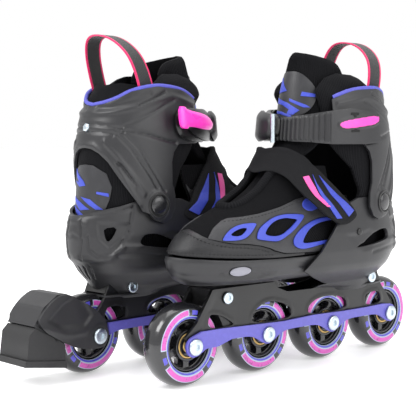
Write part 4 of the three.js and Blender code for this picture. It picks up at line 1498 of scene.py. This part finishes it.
@dataclass
class Liner:
    """The padded boot inside the shells, with a patch at the heel."""

    wall: float = 6.0

    def build(self, skate: Skate) -> None:
        """Builds the liner and its patch."""
        ankle = LINER.both([(-130, 259), (-100, 261), (-88, 259), (-75, 260), (-54, 270.5),
                            (-36, 271.5), (-20, 267), (-8, 255), (-14, 238), (-16, 212),
                            (-26, 200), (-44, 184), (-54, 164), (-54, 104), (-60, 96),
                            (-140, 96)])

        def plump(flat: np.ndarray, _: np.ndarray) -> np.ndarray:
            """A rolled top edge, quilted folds down the collar, and a front that bulges."""
            away = distance(flat, ankle, True)
            roll = -2.5 * (1 - np.clip(away / 7.0, 0, 1)) ** 2
            z, u = flat[:, 1], np.abs(flat[:, 0])
            folds = (0.9 * np.sin(z / 5.5 + u / 26) + 0.6 * np.sin(z / 3.1 - u / 17))
            soft = np.clip((z - 238) / 12, 0, 1) * np.clip(away / 6, 0, 1)
            bulge = 3.0 * np.exp(-((u - 186) / 16) ** 2 - ((z - 258) / 11) ** 2)
            return roll + folds * soft + bulge

        upper = panel("ankle", LINER, ankle, (), 2.4, self.wall, 0.0, plump, 1.0)
        foot = panel("foot", SOCK, SOCK.both([(130, 148), (60, 150), (-20, 151), (-52, 158),
                                              (-52, 92), (130, 92)]), (), 4.0, 4.0, -1.5)
        liner = join("liner", [upper, foot])
        skate.add(liner, "collar", "", ("liner_foot", "liner_cuff"), "liner_mesh")
        self.bend(skate, liner)
        shape = mirrored([(0, 188), (18, 187), (40, 180), (48, 168), (46, 156), (42, 147),
                          (28, 139), (0, 136)])
        patch = panel("heel_patch", LINER, shape, (), 2.4, 1.2, 0.9)
        skate.add(patch, "patch", "", (), "liner_mesh")
        self.bend(skate, patch)
        marks = [panel("swoosh", LINER, flip(shape, skate.out), (), 1.8, 0.9, 1.4)
                 for shape in SWOOSH]
        swoosh = skate.add(join("heel_swoosh", marks), "blue", "", (), "liner_mesh")
        self.bend(skate, swoosh)

    @staticmethod
    def bend(skate: Skate, obj: bpy.types.Object, low: float = 148.0, high: float = 205.0) -> None:
        """Bakes a piece's place into its mesh."""
        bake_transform(obj)


@dataclass
class Tongue:
    """The tall padded tongue, with a patch near its top."""

    wall: float = 5.0

    def build(self, skate: Skate) -> None:
        """Builds the tongue and its patch."""
        outline = rounded(mirrored([(0, 132), (24, 134), (32, 143), (36, 163), (38, 178),
                                    (52, 188), (80, 196), (102, 212), (132, 234), (160, 254),
                                    (170, 268), (150, 279), (120, 284), (60, 289), (0, 291)]), 1)

        def plump(flat: np.ndarray, _: np.ndarray) -> np.ndarray:
            """A rolled edge and shallow ribs up the tongue."""
            away = distance(flat, outline, True)
            edge = -1.6 * (1 - np.clip(away / 5.0, 0, 1)) ** 2
            return edge + 0.35 * np.sin(flat[:, 0] * 2 * math.pi / 5.2) * np.clip(away / 6, 0, 1)

        tongue = panel("tongue", TONGUE, outline, (), 1.9, self.wall, 0.0, plump, 1.0)
        skate.add(tongue, "collar", "", ("tongue_lower", "tongue_top"), "liner_mesh")
        Liner.bend(skate, tongue, 165.0, 205.0)
        shape = mirrored([(0, 273), (24, 273), (50, 269), (75, 259), (79, 250), (70, 239),
                          (49, 232), (0, 229)])
        patch = panel("tongue_patch", TONGUE, rounded(shape, 2), (), 2.4, 1.2, 1.1)
        skate.add(patch, "patch", "ankle", (), "liner_mesh")
        shapes = [[(-38, 268), (-32, 267), (-15, 261), (2, 255), (-38, 253)],
                  [(45, 254), (75, 252), (75, 249), (42, 250)],
                  [(14, 248), (56, 242), (66, 239.5), (52, 239.5), (14, 245.5)],
                  [(-36, 249), (10, 244), (43, 237), (29, 233), (10, 233), (16, 238), (-6, 242),
                   (-36, 244)],
                  [(-36, 237), (-8, 236), (26, 232), (22, 230.6), (-8, 233.5), (-36, 234.5)]]
        marks = [panel("swoosh", TONGUE, flip(points, skate.out), (), 1.8, 0.9, 1.6)
                 for points in shapes]
        skate.add(join("tongue_swoosh", marks), "blue", "ankle", (), "liner_mesh")


@dataclass
class PullLoop:
    """The webbing loop over the back of the collar."""

    width: float = 18.0
    thickness: float = 1.5
    lean: float = 0.28

    def build(self, skate: Skate) -> None:
        """Builds the loop, flopped over towards the inside of the foot."""
        points = [(32, 246), (32.5, 258), (31, 273), (26, 286), (16, 296), (4, 302.5),
                  (-9, 305.5), (-21, 305), (-28, 299), (-32, 287), (-33, 272), (-32.5, 258),
                  (-32, 246)]
        line = rounded([(-82 - self.lean * (z - 258), y * skate.out, z) for y, z in points], 3,
                       False)
        line = paced(line, 2.2, False)
        ahead = np.gradient(line, axis=0)
        out = np.cross(np.tile((1.0, 0.0, 0.0), (len(line), 1)), ahead) * skate.out
        half, thin = self.width / 2, self.thickness / 2
        profile = [(-half, 0), (-half + 0.5, -thin), (half - 0.5, -thin), (half, 0),
                   (half - 0.5, thin), (-half + 0.5, thin)]
        loop = sweep("pull_loop", line, out, profile)
        skate.add(loop, "loop", "ankle", ("pull_loop",), "pull_webbing")
        self.width * MM


# ---------------------------------------------------------------- cuff and its closure
@dataclass
class Cuff:
    """The hinged cuff round the ankle, its pivots, its screws and the piping on its rim."""

    wall: float = 2.6
    pivot: tuple[float, float] = (-80.5, 151.5)
    boss: tuple[float, float] = (15.0, 14.0)

    def outline(self) -> np.ndarray:
        """Returns the cuff's pattern outline."""
        return mirrored([(0, 240), (25, 242), (45, 246), (66, 253), (107, 258), (149, 256),
                         (179, 247), (178, 240), (174, 207), (138, 206), (131, 199), (128, 190),
                         (128, 170), (131, 160), (131, 148), (126, 139), (116, 135), (103, 138),
                         (96, 144), (88, 146), (80, 155), (55, 178), (42, 190), (28, 198),
                         (14, 202), (0, 203)])

    def marks(self) -> list[Mark]:
        """Returns the grooves and ridges of each side."""
        lines = [
            ([(0, 235), (21, 234), (49, 235), (80, 239), (108, 246), (132, 250),
              (171, 243)], 1.5, 2.4),
            ([(14, 238), (36, 238), (68, 244), (97, 251)], -1.3, 2.6),
            ([(80, 241), (123, 253)], -2.0, 1.3),
            ([(0, 224), (14, 224), (52, 221), (60, 220)], -1.2, 1.2),
            ([(0, 218), (16, 217), (47, 216)], -1.2, 1.2),
            ([(52, 219), (82, 228), (109, 237), (136, 246)], -1.0, 1.3),
            ([(58, 216), (67, 218), (91, 215), (135, 207)], -1.6, 1.3),
            ([(36, 208), (54, 196), (74, 178), (89, 162)], 1.4, 2.6),
            ([(46, 214), (52, 215), (73, 202), (99, 176), (106, 167)], -1.5, 1.4),
            ([(61, 216), (84, 201), (117, 164)], -1.2, 1.3),
            ([(54, 189), (59, 188), (79, 170)], -1.9, 1.5),
            ([(84, 152), (58, 182), (40, 196), (18, 205), (0, 206)], 1.1, 2.2),
        ]
        marks = [Mark(line, lift, width) for line, lift, width in lines]
        centre = CUFF.at([self.pivot], 1.0)[0]
        turn = [math.radians(a) for a in range(0, 360, 20)]
        wide, high = self.boss
        edge = [(centre[0] + wide * math.cos(a), centre[1] + high * math.sin(a)) for a in turn]
        return marks + [Mark(edge, 1.3, 1.8, True)]

    def build(self, skate: Skate) -> None:
        """Builds the cuff and what is fixed to it."""
        cuff = panel("cuff", CUFF, self.outline(), (), 1.6, self.wall, 0.0, carved(self.marks()),
                     0.9)
        skate.add(cuff, "shell", "ankle", ("cuff",))
        caps, rings = [], []
        for side in (-1.0, 1.0):
            spot = CUFF.at([self.pivot], side)[0]
            caps.append(stud("cap", CUFF, spot, 1.0, dome(8.2, 2.6), 40))
            rings.append(stud("ring", CUFF, spot, 1.0, Wheel.ring(8.8, 11.0, 1.2), 40))
        skate.add(join("pivot_caps", caps), "hub", "ankle")
        skate.add(join("pivot_rings", rings), "frame", "ankle")
        screw = stud("cuff_screw", CUFF, (0, 221), -0.4, dome(4.0, 2.2), 6)
        skate.add(screw, "zinc", "ankle", (), "zinc_steel")
        rim = rounded(mirrored([(0, 241.4), (25, 243.4), (45, 247.4), (66, 254.4), (107, 259.4),
                                (149, 257.4), (178, 249)][::-1]), 2, False)
        edge = piping("cuff_piping", CUFF, rim, 3.8, 3.8, -1.6, 2.0)
        skate.add(edge, "piping", "ankle", (), "upper_fabric")


@dataclass
class Closure:
    """The toothed ladder strap across the cuff's front, and its lever buckle."""

    strap: float = 3.0
    body: float = 8.0
    lever: float = 4.5
    pin_radius: float = 2.2
    pin_length: float = 25.0
    pin_place: tuple[float, float, float] = (21.0, 1.0, 208.5)
    pitch: float = 6.4
    tooth: float = 1.5
    teeth_end: float = 72.0

    def ladder(self, skate: Skate) -> None:
        """Builds the strap, the inlay at its root and its two near-black tabs, painted shade that
        stands for holes.
        """
        top = BAND.at([(-70, 235), (-40, 239), (-21, 236.5), (-5, 233.5), (5, 231)], 1.0)
        low = BAND.at([(-54, 206), (-20, 206), (-2, 208), (7, 208.6)], 1.0)
        outline = np.array([*top, (20, 231), (-40, 231), (-40, 209), (20, 209), *low[::-1],
                            (136, 208)])
        inlay = rounded([(79, 224), (84, 227), (94, 229), (133, 234), (133, 225), (94, 220),
                         (84, 220)], 1)

        def teeth(flat: np.ndarray, _: np.ndarray) -> np.ndarray:
            """Saw teeth along the strap's front half, a rim, and a lip round the inlay."""
            away = distance(flat, outline, True)
            phase = np.mod(flat[:, 0], self.pitch) / self.pitch
            saw = np.clip(phase * 1.5, 0, 1) * (phase < 0.86)
            here = (flat[:, 0] < self.teeth_end) & (away > 1.5)
            lip = 0.9 * np.exp(-(distance(flat, inlay, True) / 1.3) ** 2)
            return self.tooth * saw * here + lip

        strap = panel("ladder_strap", BAND, outline, (), 1.3, self.strap, self.strap + 0.3, teeth,
                      0.5)
        skate.add(strap, "shell", "ankle", ("ladder_strap",))
        pink = panel("ladder_inlay", BAND, inlay, (), 2.0, 1.6, self.strap + 1.0)
        skate.add(pink, "inlay", "ankle")
        # near-black tabs: painted shade that stands for holes
        tabs = []
        for z, way in ((235, -1), (217, 1)):
            spot = np.array((99, z))
            shape = [(-5, 0), (5, 0), (5, 2.4 * way), (1.8, 2.4 * way), (1.8, 5 * way),
                     (-1.8, 5 * way), (-1.8, 2.4 * way), (-5, 2.4 * way)]
            tabs.append(panel("tab", BAND, np.array(shape) + spot, (), 1.5, 1.2,
                              self.strap + 0.9))
        skate.add(join("ladder_tabs", tabs), "hole", "ankle")

    def swollen(self, name: str, shape: np.ndarray, grow: float, thickness: float, round_: float,
                drop: float) -> bpy.types.Object:
        """Returns a plate on the band whose face falls away by drop over its rounded margin."""
        def fall(flat: np.ndarray, _: np.ndarray) -> np.ndarray:
            """The drop towards the margin."""
            away = distance(flat, shape, True)
            return -drop * (1 - np.clip(away / round_, 0, 1)) ** 2

        return panel(name, BAND, shape, (), 1.4, thickness, grow, fall, 0.7)

    def buckle(self, skate: Skate) -> None:
        """Builds the buckle's base, its hood, its pin and its lever."""
        seat = self.strap + 0.6
        plate = rounded(BAND.at([(-60, 214), (-60, 237), (-38, 240), (-6, 238), (-6, 208),
                                 (-38, 208)], -1.0), 2)
        parts = [self.swollen("plate", plate, seat + 1.0, 4.0, 4.0, 1.5)]
        body = [*BAND.at([(-50, 222), (-46, 231), (-38, 237), (-28, 239), (-16, 239), (-5, 236.5),
                          (4, 234)], -1.0), (4, 233), (4, 211),
                *BAND.at([(5, 209), (-6, 208.5), (-18, 209), (-30, 211), (-42, 216)], -1.0)]
        parts.append(self.swollen("body", rounded(body, 2), seat + self.body - 0.3, 8.5, 9.0, 5.0))
        skate.add(join("buckle_base", parts), "frame", "ankle", ("buckle_base",))
        hood = [*BAND.at([(-13, 237), (-5, 238), (4, 235)], -1.0), (3, 233), (3, 211),
                *BAND.at([(5, 209), (-4, 208), (-11, 211), (-17, 215), (-18, 219), (-15, 224),
                          (-18, 229), (-18, 234)], -1.0)]
        cover = self.swollen("buckle_hood", rounded(hood, 2), seat + self.body + 4.2, 6.5, 7.0, 4.0)
        skate.add(cover, "shell", "ankle")
        end, radius = self.pin_length, self.pin_radius
        pin = turned("buckle_pin", [(0, -1), (radius, -1), (radius, end), (0, end)], (0, 0, 0), 20)
        pin.data.transform(Matrix.Translation(self.pin_place)
                           @ Matrix.Rotation(math.radians(90), 4, "X"))
        skate.add(pin, "zinc", "ankle", (), "zinc_steel")
        arm = BAND.at([(-65, 225), (-65, 240), (-59, 240), (-57, 237), (-36, 234), (-26, 231),
                       (-20, 227), (-19, 224), (-22, 220), (-30, 219), (-56, 222.5), (-57, 220),
                       (-63, 220)], -1.0)
        lever = self.swollen("buckle_lever", rounded(arm, 1), seat + self.body + self.lever, 4.2,
                             5.0, 1.6)
        skate.add(lever, "lever", "lever", ("buckle_lever",), "lever_pink")

    def build(self, skate: Skate) -> None:
        """Builds the strap and the buckle."""
        self.ladder(skate)
        self.buckle(skate)


# ---------------------------------------------------------------- heel brake
@dataclass
class Brake:
    """The heel brake: a housing on the rear axle that carries a rubber pad."""

    reach: float = 22.2
    arm: float = 3.4
    room: float = 38.5

    def build(self, skate: Skate) -> None:
        """Builds the housing and the pad."""
        rear, z = skate.axles()[3], skate.axle_z
        tread = rear - z
        top = z + skate.axle_z
        skin = [(rear + 11, z + 5), (rear + 2, z + 20), (rear - 14, top - 5), (rear - 29, top + 2),
                (tread + 1, top + 5), (tread - 8, top + 5), (tread - 22, top - 4),
                (tread - 33, z + 17), (tread + 1, z - 3), (rear - 20, z - 9), (rear, z - 11.5),
                (rear + 9, z - 8)]
        dish = [(rear - 22, z + 40), (tread - 4, z + 33), (tread - 20, z + 20), (tread - 6, z + 13),
                (rear - 16, z + 12), (rear - 8, z + 20)]

        def sculpt(flat: np.ndarray, _: np.ndarray) -> np.ndarray:
            """A dished side above a raised arm, and a ring round the axle."""
            sunk = Mark(dish, -1.3, 3.0, True).height(flat)
            ridge = Mark([(tread - 28, z + 16), (tread, z + 6), (rear - 16, z + 6)], 1.0, 3.0)
            away = np.hypot(flat[:, 0] - rear, flat[:, 1] - z)
            return sunk + ridge.height(flat) + 0.5 * np.exp(-((away - 9.5) / 1.0) ** 2)

        parts = [panel("arm", Plane(side * self.reach), rounded(skin, 2), (), 1.8, self.arm, 0.0,
                       sculpt, 1.2) for side in (-1, 1)]
        arch = arc(rear, z, self.room, 184, 122, 10)
        block = [(rear - 24, top + 1), (tread + 1, top + 5.4), (tread - 8, top + 5.4),
                 (tread - 22, top - 3.6), (tread - 33, z + 17)]
        middle = [*block, *arch]
        width = self.reach - self.arm + 0.2
        parts.append(slab("middle", middle, -width, width, 0.3))
        skate.add(join("brake_housing", parts), "shell", "base", ("brake_housing",))
        pad = [(tread - 0.7, z - 2.6), (tread - 32, z + 15.6), (tread - 38, z + 10),
               (tread - 41, z - 12), (tread - 0.7, z - 18)]
        flange = [(tread, z - 17), (tread - 43, z - 10.6), (tread - 43.6, z - 16),
                  (tread, z - 23)]
        blocks = [slab("pad", pad, -20.0, 20.0, 1.6), slab("flange", flange, -21.4, 21.4, 1.3)]
        skate.add(join("brake_pad", blocks), "rubber", "base", ("brake_pad",), "brake_rubber")


def build_skate(skate: Skate) -> None:
    """Builds one skate."""
    braked = skate.side is Side.RIGHT
    brake = Brake()
    Chassis().build(skate, braked, brake.reach)
    for piece in (HeelShell(), ToeShell(), Upper(), FootStrap(), Liner(), Tongue(), PullLoop(),
                  Cuff(), Closure()):
        piece.build(skate)
    if braked:
        brake.build(skate)


# ---------------------------------------------------------------- stage
@dataclass
class Stage:
    """The floor, the lights and the camera."""

    camera_place: tuple[float, float, float] = (-0.69008, -0.65440, 0.211)
    camera_tilt: float = 3.92
    camera_heading: float = -45.7
    lens: float = 87.5
    floor_size: float = 30.0
    middle: tuple[float, float, float] = (0.0, 0.0, 0.12)

    def floor(self) -> None:
        """Builds a pale seamless floor."""
        bpy.ops.object.select_all(action="DESELECT")
        bpy.ops.mesh.primitive_plane_add(size=self.floor_size, location=(0, 0, 0))
        obj = bpy.context.object
        obj.name = "studio_floor"
        graph = Graph("studio_floor", (0.97, 0.97, 0.975), 0.32,
                      {"Specular IOR Level": 0.35, "Emission Color": (1.0, 1.0, 1.0, 1.0),
                       "Emission Strength": 0.35})
        graph.feed("Roughness", graph.noise(3.0).fit(0.0, 1.0, 0.3, 0.4))
        obj.data.materials.append(graph.material)

    def light(self, name: str, place: Sequence[float], size: float, watts: float,
              colour: Sequence[float] = (1, 1, 1)) -> None:
        """Adds a soft square light that faces the skates."""
        data = bpy.data.lights.new(name, "AREA")
        data.energy, data.size, data.color = watts, size, colour
        obj = bpy.data.objects.new(name, data)
        bpy.context.scene.collection.objects.link(obj)
        spot = Vector(place)
        obj.location = spot
        obj.rotation_euler = (Vector(self.middle) - spot).to_track_quat("-Z", "Y").to_euler()

    def camera(self) -> None:
        """Adds the camera."""
        data = bpy.data.cameras.new("camera")
        data.lens, data.sensor_width = self.lens, 36.0
        obj = bpy.data.objects.new("camera", data)
        obj.location = self.camera_place
        obj.rotation_euler = (math.radians(90 - self.camera_tilt), 0,
                              math.radians(self.camera_heading))
        bpy.context.scene.collection.objects.link(obj)
        bpy.context.scene.camera = obj

    def build(self) -> None:
        """Builds the stage."""
        self.floor()
        world = bpy.data.worlds.new("studio")
        world.use_nodes = True
        background = world.node_tree.nodes["Background"]
        background.inputs["Color"].default_value = (1.0, 1.0, 1.0, 1.0)
        background.inputs["Strength"].default_value = 1.0
        bpy.context.scene.world = world
        bpy.context.scene.view_settings.view_transform = "Standard"
        self.light("key", (-1.6, 0.3, 1.6), 1.0, 28.0)
        self.light("fill", (0.2, -1.8, 1.1), 1.4, 16.0)
        self.light("top", (0.2, 0.2, 2.2), 1.6, 22.0)
        self.camera()


def main() -> None:
    """Builds the stage and both skates."""
    logging.basicConfig(level=logging.INFO)
    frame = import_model()
    paint = Paint()
    Stage().build()
    for side in Side:
        skate = Skate(side, frame, paint)
        build_skate(skate)


if __name__ == "__main__":
    main()
